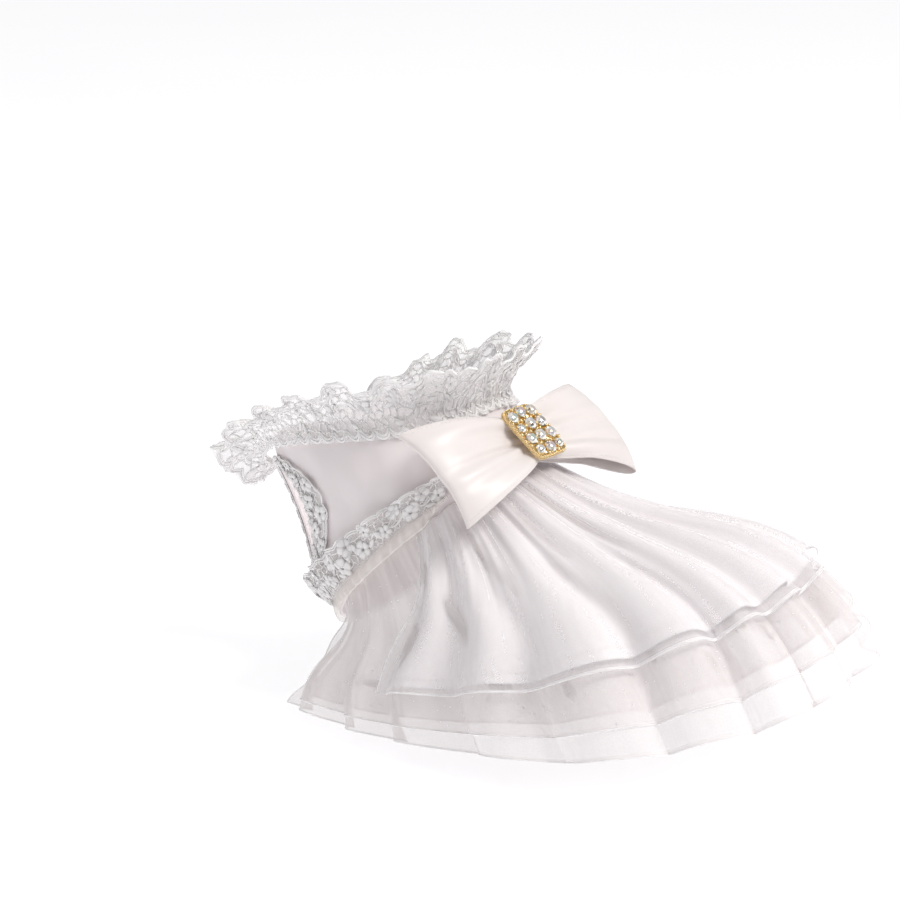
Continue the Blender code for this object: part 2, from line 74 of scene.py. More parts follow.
class Side(Enum):
    """Left or right side of the dress."""

    LEFT = 1
    RIGHT = -1


def linear(code: str, alpha: float = 1.0) -> tuple[float, float, float, float]:
    """Turn an sRGB hex colour to linear.

    Args:
        code: Six hex digits.
        alpha: Opacity to add.

    Returns:
        Red, green, blue and alpha.
    """
    parts = [int(code[i : i + 2], 16) / 255 for i in (0, 2, 4)]
    red, green, blue = [p / 12.92 if p <= 0.04045 else ((p + 0.055) / 1.055) ** 2.4 for p in parts]
    return red, green, blue, alpha


def set_values(node: Node, values: Mapping[str | int, object]) -> None:
    """Set a node's input sockets."""
    for key, value in values.items():
        node.inputs[key].default_value = value


def add_node(
    tree: NodeTree,
    kind: str,
    settings: Mapping[str, object] | None = None,
    values: Mapping[str | int, object] | None = None,
    links: Mapping[str | int, NodeSocket] | None = None,
) -> Node:
    """Add one node with its settings, socket values and incoming links.

    Args:
        tree: Tree that gets the node.
        kind: Node type.
        settings: Properties of the node.
        values: Values of its input sockets.
        links: Sockets that feed its inputs.

    Returns:
        The node.
    """
    node = tree.nodes.new(kind)
    for key, value in (settings or {}).items():
        setattr(node, key, value)
    set_values(node, values or {})
    for key, source in (links or {}).items():
        tree.links.new(source, node.inputs[key])
    return node


@dataclass(frozen=True)
class Finish:
    """A finish that makes its material once."""

    name: str = "plain"

    def material(self) -> Material:
        """Return the material of this finish, made on first use.

        Returns:
            The material.
        """
        found = bpy.data.materials.get(self.name)
        if found:
            return found
        made = bpy.data.materials.new(self.name)
        made.use_nodes = True
        tree = made.node_tree
        tree.nodes.clear()
        shader = add_node(tree, "ShaderNodeBsdfPrincipled")
        add_node(tree, "ShaderNodeOutputMaterial", links={"Surface": shader.outputs[0]})
        self.dress(tree, shader)
        return made

    def dress(self, tree: NodeTree, shader: Node) -> None:
        """Set the shader's values and feed its sockets.

        Args:
            tree: The material's tree.
            shader: Its Principled node.
        """


def cloth_millimetres(tree: NodeTree, across: float, along: float) -> NodeSocket:
    """Scale the cloth's own UV map, in metres, to cells of given millimetres.

    Args:
        tree: The material's tree.
        across: Cell size across the cloth in millimetres.
        along: Cell size along the cloth in millimetres.

    Returns:
        The scaled place.
    """
    cloth = add_node(tree, "ShaderNodeUVMap", {"uv_map": "cloth"}).outputs[0]
    scale = Vector((1000 / across, 1000 / along, 1.0))
    return add_node(tree, "ShaderNodeMapping", values={"Scale": scale}, links={"Vector": cloth}).outputs[0]


def object_millimetres(tree: NodeTree, cell: float) -> NodeSocket:
    """Scale the piece's own place to cells of given millimetres.

    Args:
        tree: The material's tree.
        cell: Cell size in millimetres.

    Returns:
        The scaled place.
    """
    place = add_node(tree, "ShaderNodeTexCoord").outputs["Object"]
    scale = Vector((1000 / cell,) * 3)
    return add_node(tree, "ShaderNodeMapping", values={"Scale": scale}, links={"Vector": place}).outputs[0]


def span(low: float, high: float, to_low: float, to_high: float) -> dict[str, float]:
    """Socket values that turn one range into another."""
    return {"From Min": low, "From Max": high, "To Min": to_low, "To Max": to_high}


def tint(tree: NodeTree, shader: Node, share: NodeSocket, shade: str, light: str) -> None:
    """Let the base colour wander between two tones.

    Args:
        tree: The material's tree.
        shader: Its Principled node.
        share: Share of the lighter tone.
        shade: The darker tone.
        light: The lighter tone.
    """
    tones = {6: linear(shade), 7: linear(light)}
    colour = add_node(tree, "ShaderNodeMix", {"data_type": "RGBA"}, values=tones, links={0: share})
    tree.links.new(colour.outputs[2], shader.inputs["Base Color"])


@dataclass(frozen=True)
class Satin(Finish):
    """Polyester satin, woven with long floats: a soft directional sheen and fine pulls."""

    name: str = "ivory_polyester_satin"
    light: str = "F7F0F1"
    shade: str = "F1E9EA"
    thread: float = 0.55
    crease: float = 0.22

    def dress(self, tree: NodeTree, shader: Node) -> None:
        """Sheen, weave and pulls of the satin.

        Args:
            tree: The material's tree.
            shader: Its Principled node.
        """
        values = {
            "Specular IOR Level": 0.42, "Sheen Weight": 0.30, "Sheen Roughness": 0.38, "Anisotropic": 0.45
        }
        set_values(shader, values)
        tone = add_node(
            tree,
            "ShaderNodeTexNoise",
            values={"Scale": 1.0, "Detail": 3.0},
            links={"Vector": cloth_millimetres(tree, 38, 60)},
        )
        tint(tree, shader, tone.outputs[0], self.shade, self.light)
        # Floats of about 0.1 mm are too fine to show, so they are drawn about half a millimetre wide.
        weave = add_node(
            tree,
            "ShaderNodeTexWave",
            {"bands_direction": "DIAGONAL"},
            values={"Scale": 0.5, "Distortion": 1.2, "Detail": 1.0},
            links={"Vector": cloth_millimetres(tree, self.thread * 2, self.thread * 5)},
        )
        pull = add_node(
            tree,
            "ShaderNodeTexNoise",
            values={"Scale": 1.0, "Detail": 1.5, "Roughness": 0.5},
            links={"Vector": cloth_millimetres(tree, 7.5, 42)},
        )
        fine = add_node(
            tree,
            "ShaderNodeBump",
            values={"Strength": 0.04, "Distance": 0.0002},
            links={"Height": weave.outputs["Fac"]},
        )
        creased = add_node(
            tree,
            "ShaderNodeBump",
            values={"Strength": self.crease, "Distance": 0.0012},
            links={"Height": pull.outputs[0], "Normal": fine.outputs[0]},
        )
        tree.links.new(creased.outputs[0], shader.inputs["Normal"])
        gloss = span(0.3, 0.7, 0.30, 0.42)
        worn = add_node(tree, "ShaderNodeMapRange", values=gloss, links={"Value": tone.outputs[0]})
        tree.links.new(worn.outputs[0], shader.inputs["Roughness"])


@dataclass(frozen=True)
class Sheer(Finish):
    """Sheer cloth of fine bright yarn: see-through on its own and whiter where it doubles."""

    name: str = "white_sheer"
    light: str = "FBF6F6"
    shade: str = "F3ECEC"
    opacity: float = 0.42
    hem_opacity: float = 0.70
    hem_width: float = 0.0014
    yarn: float = 0.9
    streak: float = 7.0
    roughness: float = 0.55

    def dress(self, tree: NodeTree, shader: Node) -> None:
        """Opacity from yarns, streaks and the doubled hem.

        Args:
            tree: The material's tree.
            shader: Its Principled node.
        """
        values = {
            "Roughness": self.roughness,
            "Specular IOR Level": 0.35,
            "Sheen Weight": 0.45,
            "Sheen Roughness": 0.30,
        }
        set_values(shader, values)
        streaks = add_node(
            tree,
            "ShaderNodeTexNoise",
            values={"Scale": 1.0, "Detail": 1.0},
            links={"Vector": cloth_millimetres(tree, self.streak, 55)},
        )
        # Yarns of about 0.05 mm are drawn near a millimetre apart, the least that shows.
        yarns = add_node(
            tree,
            "ShaderNodeTexVoronoi",
            {"feature": "DISTANCE_TO_EDGE"},
            values={"Scale": 1.0},
            links={"Vector": cloth_millimetres(tree, self.yarn, self.yarn)},
        )
        tint(tree, shader, streaks.outputs[0], self.shade, self.light)
        woven = span(0.02, 0.16, self.opacity + 0.02, self.opacity - 0.01)
        thick = add_node(tree, "ShaderNodeMapRange", values=woven, links={"Value": yarns.outputs[0]})
        uneven = span(0.3, 0.7, 0.93, 1.07)
        even = add_node(tree, "ShaderNodeMapRange", values=uneven, links={"Value": streaks.outputs[0]})
        body = add_node(
            tree, "ShaderNodeMath", {"operation": "MULTIPLY"}, links={0: thick.outputs[0], 1: even.outputs[0]}
        )
        edge = add_node(tree, "ShaderNodeAttribute", {"attribute_name": "hem"})
        doubled = span(self.hem_width * 0.8, self.hem_width, self.hem_opacity, 0.0)
        band = add_node(tree, "ShaderNodeMapRange", values=doubled, links={"Value": edge.outputs["Fac"]})
        alpha = add_node(
            tree,
            "ShaderNodeMath",
            {"operation": "MAXIMUM", "use_clamp": True},
            links={0: body.outputs[0], 1: band.outputs[0]},
        )
        tree.links.new(alpha.outputs[0], shader.inputs["Alpha"])
        bump = add_node(
            tree,
            "ShaderNodeBump",
            values={"Strength": 0.05, "Distance": 0.0008},
            links={"Height": streaks.outputs[0]},
        )
        tree.links.new(bump.outputs[0], shader.inputs["Normal"])


@dataclass(frozen=True)
class LaceGround(Finish):
    """Bobbinet ground of lace: fine cotton cells that let most light through."""

    name: str = "white_bobbinet_ground"
    thread: str = "F7F5F4"
    cell: float = 1.2
    opacity: float = 0.26

    def dress(self, tree: NodeTree, shader: Node) -> None:
        """Threads that are denser than the cells between them.

        Args:
            tree: The material's tree.
            shader: Its Principled node.
        """
        set_values(shader, {"Base Color": linear(self.thread), "Roughness": 0.85, "Sheen Weight": 0.2})
        cells = add_node(
            tree,
            "ShaderNodeTexVoronoi",
            {"feature": "DISTANCE_TO_EDGE"},
            values={"Scale": 1.0, "Randomness": 0.75},
            links={"Vector": cloth_millimetres(tree, self.cell, self.cell)},
        )
        holes = span(0.06, 0.16, max(0.50, self.opacity + 0.1), self.opacity)
        alpha = add_node(tree, "ShaderNodeMapRange", values=holes, links={"Value": cells.outputs[0]})
        tree.links.new(alpha.outputs[0], shader.inputs["Alpha"])
        bump = add_node(
            tree,
            "ShaderNodeBump",
            {"invert": True},
            values={"Strength": 0.15, "Distance": 0.0003},
            links={"Height": cells.outputs[0]},
        )
        tree.links.new(bump.outputs[0], shader.inputs["Normal"])


@dataclass(frozen=True)
class CottonCord(Finish):
    """Twisted cotton gimp and satin stitch: matt, very white, with the twist just visible."""

    name: str = "white_cotton_gimp"
    light: str = "FFFDFD"
    shade: str = "F9F5F5"
    twist: float = 0.7

    def dress(self, tree: NodeTree, shader: Node) -> None:
        """Twist and soft tone of the cotton.

        Args:
            tree: The material's tree.
            shader: Its Principled node.
        """
        values = {
            "Roughness": 0.78,
            "Sheen Weight": 0.35,
            "Subsurface Weight": 0.5,
            "Subsurface Radius": (1.0, 1.0, 1.0),
            "Subsurface Scale": 0.0008,
        }
        set_values(shader, values)
        grain = add_node(
            tree,
            "ShaderNodeTexNoise",
            values={"Scale": 1.0, "Detail": 2.0},
            links={"Vector": object_millimetres(tree, self.twist)},
        )
        tint(tree, shader, grain.outputs[0], self.shade, self.light)
        bump = add_node(
            tree,
            "ShaderNodeBump",
            values={"Strength": 0.2, "Distance": 0.0002},
            links={"Height": grain.outputs[0]},
        )
        tree.links.new(bump.outputs[0], shader.inputs["Normal"])


@dataclass(frozen=True)
class GoldPlate(Finish):
    """Gold-plated cast alloy, polished: warm mirror gloss with slight casting ripple."""

    name: str = "gold_plated_alloy"
    light: str = "FBEBC4"
    deep: str = "E8C98C"
    cast: float = 1.4286

    def dress(self, tree: NodeTree, shader: Node) -> None:
        """Gloss and casting ripple of the plate.

        Args:
            tree: The material's tree.
            shader: Its Principled node.
        """
        shader.inputs["Metallic"].default_value = 1.0
        ripple = add_node(
            tree,
            "ShaderNodeTexNoise",
            values={"Scale": 1.0, "Detail": 3.0},
            links={"Vector": object_millimetres(tree, self.cast)},
        )
        tint(tree, shader, ripple.outputs[0], self.deep, self.light)
        gloss = span(0.3, 0.7, 0.12, 0.30)
        worn = add_node(tree, "ShaderNodeMapRange", values=gloss, links={"Value": ripple.outputs[0]})
        tree.links.new(worn.outputs[0], shader.inputs["Roughness"])
        bump = add_node(
            tree,
            "ShaderNodeBump",
            values={"Strength": 0.25, "Distance": 0.0002},
            links={"Height": ripple.outputs[0]},
        )
        tree.links.new(bump.outputs[0], shader.inputs["Normal"])


@dataclass(frozen=True)
class CutGlass(Finish):
    """Cut glass with a foiled back; each facet has a painted glint: a white, pink or green flash, or a dark
    reflection.
    """

    name: str = "foiled_cut_glass"
    # Each facet takes one of these tones as a painted glint or a painted dark reflection; they stand in for
    # light, not for the glass's colour.
    fires: str = "FFFFFF FBFBFD F1F4F8 FFF6EC F6E0E8 E2F2EA 9A9188 D6D2CE FFFFFF F4E2C4"

    def dress(self, tree: NodeTree, shader: Node) -> None:
        """Painted facet glints from the stone's own attribute.

        Args:
            tree: The material's tree.
            shader: Its Principled node.
        """
        values = {
            "Roughness": 0.04, "IOR": 1.56, "Metallic": 0.55, "Coat Weight": 1.0, "Coat Roughness": 0.02
        }
        set_values(shader, values)
        fire = add_node(tree, "ShaderNodeAttribute", {"attribute_name": "fire"})
        tree.links.new(fire.outputs["Color"], shader.inputs["Base Color"])


@dataclass(frozen=True)
class PaperSweep(Finish):
    """Studio paper: matt and nearly white."""

    name: str = "white_studio_paper"
    light: str = "D2D2D5"
    shade: str = "CECED2"
    glow: float = 0.62

    def dress(self, tree: NodeTree, shader: Node) -> None:
        """Matt white with the faintest tone.

        Args:
            tree: The material's tree.
            shader: Its Principled node.
        """
        set_values(shader, {"Roughness": 0.9, "Specular IOR Level": 0.1})
        # The sweep is lit from below as well, as on a light table, so that it stays white.
        set_values(shader, {"Emission Color": linear("FFFFFF"), "Emission Strength": self.glow})
        place = add_node(tree, "ShaderNodeTexCoord")
        tone = add_node(
            tree,
            "ShaderNodeTexNoise",
            values={"Scale": 3.0, "Detail": 2.0},
            links={"Vector": place.outputs["Object"]},
        )
        tint(tree, shader, tone.outputs[0], self.shade, self.light)


SATIN = Satin()
# A lighter copy of the satin for the over-skirt: partly its own white tone, partly painted light that offsets
# the shade the overlay casts on it.
SKIRT_SATIN = Satin(name="white_skirt_satin", light="FFFBFC", shade="FBF6F7", crease=0.05)
BOW_SATIN = Satin(name="ivory_bow_satin", light="F5EEEC", shade="EFE7E4", crease=0.16)
ORGANZA = Sheer(name="white_organza", opacity=0.44, yarn=1.0)
# The overlay's tones are painted lighter than the organza's, to offset the shade it casts on the satin
# beneath.
OVERLAY = Sheer(name="organza_overlay_lightened_against_shade", light="FFFCFD", shade="F8F4F7", opacity=0.28, yarn=1.0)
TULLE = Sheer(
    name="white_glitter_tulle", light="F7F1F1", shade="ECE5E5", opacity=0.50, yarn=1.6, roughness=0.7
)
CREAM_TULLE = Sheer(
    name="cream_gathered_tulle", light="FEFAF5", shade="F8F3EC", opacity=0.50, yarn=1.2, roughness=0.7
)
NET = LaceGround()
CLOSE_NET = LaceGround(name="white_close_bobbinet", thread="FEFCFC", opacity=0.56)
GIMP = CottonCord()
PETALS = CottonCord(name="white_satin_stitch", light="FEFCFC", shade="F6F2F2", twist=1.1)
FLAKES = CottonCord(name="silver_glitter_flake", light="FFFFFF", shade="D9DDE6", twist=0.4)
ROLLED_HEM = CottonCord(name="white_rolled_hem", light="FDFBFC", shade="F6F2F4", twist=0.9)
GOLD = GoldPlate()
GLASS = CutGlass()
PAPER = PaperSweep()


class Table:
    """A short table by angle in degrees, read on a smooth curve through its rows."""

    def __init__(self, rows: Sequence[tuple[float, ...]]) -> None:
        """Keep the rows.

        Args:
            rows: Rows of an angle and its values.
        """
        data = np.array(rows, float)
        self.angle, self.values = data[:, 0], data[:, 1:]

    def at(self, degrees: Array) -> list[Array]:
        """Read every column.

        Args:
            degrees: Angles.

        Returns:
            One array for each column.
        """
        degrees = np.asarray(degrees, float)
        last = len(self.angle) - 1
        low = np.clip(np.searchsorted(self.angle, degrees, side="left") - 1, 0, last - 1)
        high, before, after = low + 1, np.maximum(low - 1, 0), np.minimum(low + 2, last)
        step = self.angle[high] - self.angle[low]
        t = np.clip((degrees - self.angle[low]) / step, 0, 1)
        columns = []
        for v in self.values.T:
            slope_low = (v[high] - v[before]) / (self.angle[high] - self.angle[before]) * step
            slope_high = (v[after] - v[low]) / (self.angle[after] - self.angle[low]) * step
            rise = 3 * t**2 - 2 * t**3
            bend = (t**3 - 2 * t**2 + t) * slope_low + (t**3 - t**2) * slope_high
            columns.append(v[low] * (1 - rise) + v[high] * rise + bend)
        return columns


def vectors(x: Array, y: Array, z: Array) -> Array:
    """Stack coordinates to points.

    Args:
        x: First coordinates.
        y: Second coordinates.
        z: Third coordinates.

    Returns:
        Points in the last axis.
    """
    return np.stack(np.broadcast_arrays(x, y, z), axis=-1)


@dataclass(frozen=True)
class BodyForm:
    """The dress's inner form, from which every piece takes its place."""

    wall: float = 0.0010
    fit_gap: float = 0.0004
    trim_gap: float = 0.0009
    layer_gap: float = 0.0006
    neck_width: float = 0.104
    neck_depth: float = 0.124
    neck_tilt: float = math.radians(82)
    waist_width: float = 0.116
    waist_depth: float = 0.132
    waist_tilt: float = math.radians(46)
    back_length: float = 0.0373
    back_slope: float = math.radians(54)
    ease: float = 0.004
    ease_on_back: float = 0.2
    neck_cut: Table = Table([(0, 0), (80, 0), (120, 0.06), (150, 0.17), (180, 0.26)])

    @property
    def layer_step(self) -> float:
        """Thickness of one skirt layer with its gap."""
        return self.wall + self.layer_gap

    @staticmethod
    def along(tilt: Array | float) -> Array:
        """Direction along the body of a ring at a tilt."""
        return vectors(0.0 * np.asarray(tilt), np.cos(tilt), -np.sin(tilt))

    @staticmethod
    def out(tilt: Array | float) -> Array:
        """Direction out of the back of a ring at a tilt."""
        return vectors(0.0 * np.asarray(tilt), np.sin(tilt), np.cos(tilt))

    def raw(self, run: Array, angle: Array, out: Array) -> Array:
        """Point before the origin is moved to the seat on the back.

        Args:
            run: Share from neck to waist.
            angle: Angle round the body.
            out: Distance out of the inner face.

        Returns:
            Points.
        """
        run, angle, out = np.broadcast_arrays(np.asarray(run, float), angle, out)
        tilt = self.neck_tilt + (self.waist_tilt - self.neck_tilt) * run
        half_width = (self.neck_width + (self.waist_width - self.neck_width) * run) / 2
        half_depth = (self.neck_depth + (self.waist_depth - self.neck_depth) * run) / 2
        ease = self.ease * np.sin(math.pi * np.clip(run, 0, 1))
        neck = -self.out(self.neck_tilt) * (self.neck_depth / 2)
        waist = self.along(self.back_slope) * self.back_length
        waist = waist - self.out(self.waist_tilt) * (self.waist_depth / 2)
        centre = neck + (waist - neck) * run[..., None]
        across = np.sin(angle) * (half_width + ease + out)
        eased = ease * (self.ease_on_back + (1 - self.ease_on_back) * np.sin(angle / 2) ** 2)
        up = np.cos(angle) * (half_depth + eased + out)
        return centre + vectors(across, 0, 0) + self.out(tilt) * up[..., None]

    def point(self, run: Array, angle: Array, out: Array) -> Array:
        """Point on the form.

        Args:
            run: Share from neck to waist.
            angle: Angle round the body.
            out: Distance out of the inner face.

        Returns:
            Points.
        """
        return self.raw(run, angle, out) - self.raw(0.5, 0.0, 0.0)

    def side_length(self, angle: Array) -> Array:
        """Straight length from neck to waist at an angle."""
        return np.linalg.norm(self.point(1.0, angle, 0.0) - self.point(0.0, angle, 0.0), axis=-1)

    def neckline(self, angle: Array) -> Array:
        """Share of the length at which the top edge lies."""
        return self.neck_cut.at(from_ridge(angle))[0]


def from_ridge(angle: Array) -> Array:
    """Degrees from the ridge of the back, on either side."""
    return np.degrees(np.arccos(np.clip(np.cos(angle), -1, 1)))


def soft_noise(place: Array, seed: int, octaves: int = 4) -> Array:
    """A smooth wandering value near -1 to 1.

    Args:
        place: Position in waves.
        seed: Seed of its phases.
        octaves: Number of sine waves.

    Returns:
        The values.
    """
    rng = np.random.default_rng(seed)
    total = np.zeros_like(np.asarray(place, float))
    for octave in range(octaves):
        rate = rng.uniform(0.6, 1.4) * 1.7**octave
        total = total + np.sin(TURN * (rate * place + rng.uniform())) / 1.5**octave
    return total / 2.2


@dataclass
class ClothSurface:
    """A surface of cloth over two parameters, with its outer side."""

    place: Callable[[Array, Array], Array]
    flip: bool = False
    step: float = 1e-3

    def normal(self, u: Array, v: Array) -> Array:
        """Unit normals on the outer side.

        Args:
            u: First parameter.
            v: Second parameter.

        Returns:
            Normals.
        """
        along_u = self.place(u + self.step, v) - self.place(u - self.step, v)
        along_v = self.place(u, v + self.step) - self.place(u, v - self.step)
        normal = np.cross(along_u, along_v)
        normal /= np.maximum(np.linalg.norm(normal, axis=-1, keepdims=True), 1e-12)
        return -normal if self.flip else normal

    def lifted(self, u: Array, v: Array, height: Array | float) -> Array:
        """Points at a height off the outer side."""
        return self.place(u, v) + self.normal(u, v) * np.asarray(height)[..., None]


def link(name: str, mesh: Mesh) -> Object:
    """Put a mesh in the scene as an object at the origin."""
    made = bpy.data.objects.new(name, mesh)
    bpy.context.scene.collection.objects.link(made)
    return made


def plain_mesh(name: str, points: Array, faces: Sequence[Sequence[int]], finish: Finish | None) -> Object:
    """An object from points and faces.

    Args:
        name: Its name.
        points: Its points.
        faces: Its faces as point numbers.
        finish: Its finish, or None for a tool.

    Returns:
        The object.
    """
    mesh = bpy.data.meshes.new(name)
    mesh.from_pydata([tuple(p) for p in np.asarray(points, float)], [], [tuple(f) for f in faces])
    mesh.update()
    if finish:
        mesh.materials.append(finish.material())
    return link(name, mesh)


def cloth_sheet(
    name: str,
    surface: ClothSurface,
    us: Array,
    vs: Array,
    flat: tuple[float, float],
    finish: Finish,
    round_u: bool = False,
    wall: float = 0.0,
) -> Object:
    """A fine sheet over a surface, with its flat cut as UV map and its distance to the hem as attribute.

    Args:
        name: Its name.
        surface: The surface.
        us: First parameters.
        vs: Second parameters.
        flat: Flat width over u and length over v.
        finish: Its finish.
        round_u: Whether it closes on itself over u.
        wall: Thickness to add outwards, or 0 for a single layer.

    Returns:
        The object.
    """
    count_u, count_v = len(us), len(vs)
    around = us[:-1] if round_u else us
    grid_u, grid_v = np.meshgrid(around, vs, indexing="ij")
    points = surface.place(grid_u, grid_v).reshape(-1, 3)
    i, j = np.meshgrid(np.arange(count_u - 1), np.arange(count_v - 1), indexing="ij")
    i, j = i.ravel(), j.ravel()
    following = (i + 1) % len(around)
    corners = [(i, i, j), (i + 1, following, j), (i + 1, following, j + 1), (i, i, j + 1)]
    if surface.flip:
        corners.reverse()
    faces = np.stack([real * count_v + row for _, real, row in corners], axis=1)
    mesh = bpy.data.meshes.new(name)
    mesh.vertices.add(len(points))
    mesh.vertices.foreach_set("co", points.ravel())
    mesh.loops.add(faces.size)
    mesh.loops.foreach_set("vertex_index", faces.ravel().astype(np.int32))
    mesh.polygons.add(len(faces))
    mesh.polygons.foreach_set("loop_start", np.arange(0, faces.size, 4, dtype=np.int32))
    mesh.update(calc_edges=True)
    share_u = (us - us[0]) / (us[-1] - us[0]) * flat[0]
    share_v = (vs - vs[0]) / (vs[-1] - vs[0]) * flat[1]
    flat_uv = np.stack([np.stack([share_u[col], share_v[row]], -1) for col, _, row in corners], axis=1)
    layer = mesh.uv_layers.new(name="cloth")
    layer.data.foreach_set("uv", flat_uv.reshape(-1).astype(np.float32))
    hem = mesh.attributes.new("hem", "FLOAT", "POINT")
    hem.data.foreach_set("value", np.tile(flat[1] - share_v, len(around)).astype(np.float32))
    mesh.shade_smooth()
    mesh.materials.append(finish.material())
    made = link(name, mesh)
    if wall:
        thick = made.modifiers.new("wall", "SOLIDIFY")
        thick.thickness = wall
        thick.offset = 1.0
    return made


def settled(made: Object) -> Object:
    """Turn an object's modifiers into its plain mesh.

    Args:
        made: The object.

    Returns:
        The object with its plain mesh.
    """
    graph = bpy.context.evaluated_depsgraph_get()
    mesh = bpy.data.meshes.new_from_object(made.evaluated_get(graph))
    mesh.name = made.name
    made.modifiers.clear()
    made.data = mesh
    return made


def faced_outwards(made: Object) -> Object:
    """Turn the faces of a closed mesh outwards.

    Args:
        made: The object.

    Returns:
        The same object.
    """
    form = bmesh.new()
    form.from_mesh(made.data)
    bmesh.ops.recalc_face_normals(form, faces=form.faces)
    form.to_mesh(made.data)
    form.free()
    return made


def ring_faces(rings: int, sides: int, closed: bool = False) -> list[tuple[int, ...]]:
    """Faces between rings of points.

    Args:
        rings: Number of rings.
        sides: Points in a ring.
        closed: Whether the last ring joins the first.

    Returns:
        The faces.
    """
    faces = []
    for ring in range(rings if closed else rings - 1):
        low, high = ring * sides, (ring + 1) % rings * sides
        for k in range(sides):
            following = (k + 1) % sides
            faces.append((low + k, high + k, high + following, low + following))
    return faces


def node_tree(name: str, sizes: Mapping[str, str]) -> tuple[NodeTree, Node, Node]:
    """Start a Geometry Nodes tree with named inputs.

    Args:
        name: Its name.
        sizes: Input names with their socket kinds.

    Returns:
        The tree, its input node and its output node.
    """
    tree = bpy.data.node_groups.new(name, "GeometryNodeTree")
    tree.interface.new_socket(name="Geometry", in_out="INPUT", socket_type="NodeSocketGeometry")
    for label, kind in sizes.items():
        tree.interface.new_socket(name=label, in_out="INPUT", socket_type=kind)
    tree.interface.new_socket(name="Geometry", in_out="OUTPUT", socket_type="NodeSocketGeometry")
    return tree, add_node(tree, "NodeGroupInput"), add_node(tree, "NodeGroupOutput")


def end_tree(tree: NodeTree, last: Node, inlet: Node, outlet: Node, smooth: bool) -> None:
    """Close a tree with Realize Instances, shading and Set Material.

    Args:
        tree: The tree.
        last: Its last working node.
        inlet: Its input node, which has a Material input.
        outlet: Its output node.
        smooth: Whether the result is shaded smooth.
    """
    real = add_node(tree, "GeometryNodeRealizeInstances", links={0: last.outputs[0]})
    shaded = add_node(
        tree,
        "GeometryNodeSetShadeSmooth",
        values={"Shade Smooth": smooth},
        links={"Geometry": real.outputs[0]},
    )
    coated = {"Geometry": shaded.outputs[0], "Material": inlet.outputs["Material"]}
    dressed = add_node(tree, "GeometryNodeSetMaterial", links=coated)
    tree.links.new(dressed.outputs[0], outlet.inputs[0])


def cord_tree() -> NodeTree:
    """Tree that lays a round cord on each edge of a mesh of lines.

    Returns:
        The tree.
    """
    sizes = {"Radius": "NodeSocketFloat", "Sides": "NodeSocketInt", "Material": "NodeSocketMaterial"}
    tree, inlet, outlet = node_tree("cord_on_lines", sizes)
    curve = add_node(tree, "GeometryNodeMeshToCurve", links={0: inlet.outputs["Geometry"]})
    ring = add_node(
        tree,
        "GeometryNodeCurvePrimitiveCircle",
        links={"Resolution": inlet.outputs["Sides"], "Radius": inlet.outputs["Radius"]},
    )
    tube = add_node(
        tree,
        "GeometryNodeCurveToMesh",
        values={"Fill Caps": True},
        links={"Curve": curve.outputs[0], "Profile Curve": ring.outputs[0]},
    )
    end_tree(tree, tube, inlet, outlet, True)
    return tree


def stitch_tree() -> NodeTree:
    """Tree that sets short stitches along lines at a spacing.

    Returns:
        The tree.
    """
    sizes = {
        "Spacing": "NodeSocketFloat",
        "Length": "NodeSocketFloat",
        "Radius": "NodeSocketFloat",
        "Material": "NodeSocketMaterial",
    }
    tree, inlet, outlet = node_tree("stitches_on_lines", sizes)
    curve = add_node(tree, "GeometryNodeMeshToCurve", links={0: inlet.outputs["Geometry"]})
    points = add_node(
        tree,
        "GeometryNodeCurveToPoints",
        {"mode": "LENGTH"},
        links={"Curve": curve.outputs[0], "Length": inlet.outputs["Spacing"]},
    )
    thread = add_node(
        tree,
        "GeometryNodeMeshCylinder",
        values={"Vertices": 6},
        links={"Depth": inlet.outputs["Length"], "Radius": inlet.outputs["Radius"]},
    )
    turned = add_node(
        tree, "FunctionNodeAlignRotationToVector", {"axis": "Z"}, links={"Vector": points.outputs["Tangent"]}
    )
    placed = add_node(
        tree,
        "GeometryNodeInstanceOnPoints",
        links={"Points": points.outputs[0], "Instance": thread.outputs[0], "Rotation": turned.outputs[0]},
    )
    end_tree(tree, placed, inlet, outlet, True)
    return tree


def flake_tree() -> NodeTree:
    """Tree that scatters small flat flakes over a sheet, from a fixed seed.

    Returns:
        The tree.
    """
    sizes = {
        "Density": "NodeSocketFloat",
        "Radius": "NodeSocketFloat",
        "Sides": "NodeSocketInt",
        "Seed": "NodeSocketInt",
        "Material": "NodeSocketMaterial",
    }
    tree, inlet, outlet = node_tree("flakes_on_cloth", sizes)
    spots = add_node(
        tree,
        "GeometryNodeDistributePointsOnFaces",
        links={
            "Mesh": inlet.outputs["Geometry"],
            "Density": inlet.outputs["Density"],
            "Seed": inlet.outputs["Seed"],
        },
    )
    flake = add_node(
        tree,
        "GeometryNodeMeshCircle",
        {"fill_type": "NGON"},
        links={"Vertices": inlet.outputs["Sides"], "Radius": inlet.outputs["Radius"]},
    )
    size = add_node(
        tree,
        "FunctionNodeRandomValue",
        {"data_type": "FLOAT"},
        values={2: 0.45, 3: 1.0},
        links={"Seed": inlet.outputs["Seed"]},
    )
    placed = add_node(
        tree,
        "GeometryNodeInstanceOnPoints",
        links={
            "Points": spots.outputs["Points"],
            "Instance": flake.outputs[0],
            "Rotation": spots.outputs["Rotation"],
            "Scale": size.outputs[1],
        },
    )
    lifted = add_node(
        tree,
        "GeometryNodeTranslateInstances",
        values={"Translation": Vector((0.0, 0.0, 0.0003)), "Local Space": True},
        links={"Instances": placed.outputs[0]},
    )
    end_tree(tree, lifted, inlet, outlet, False)
    return tree


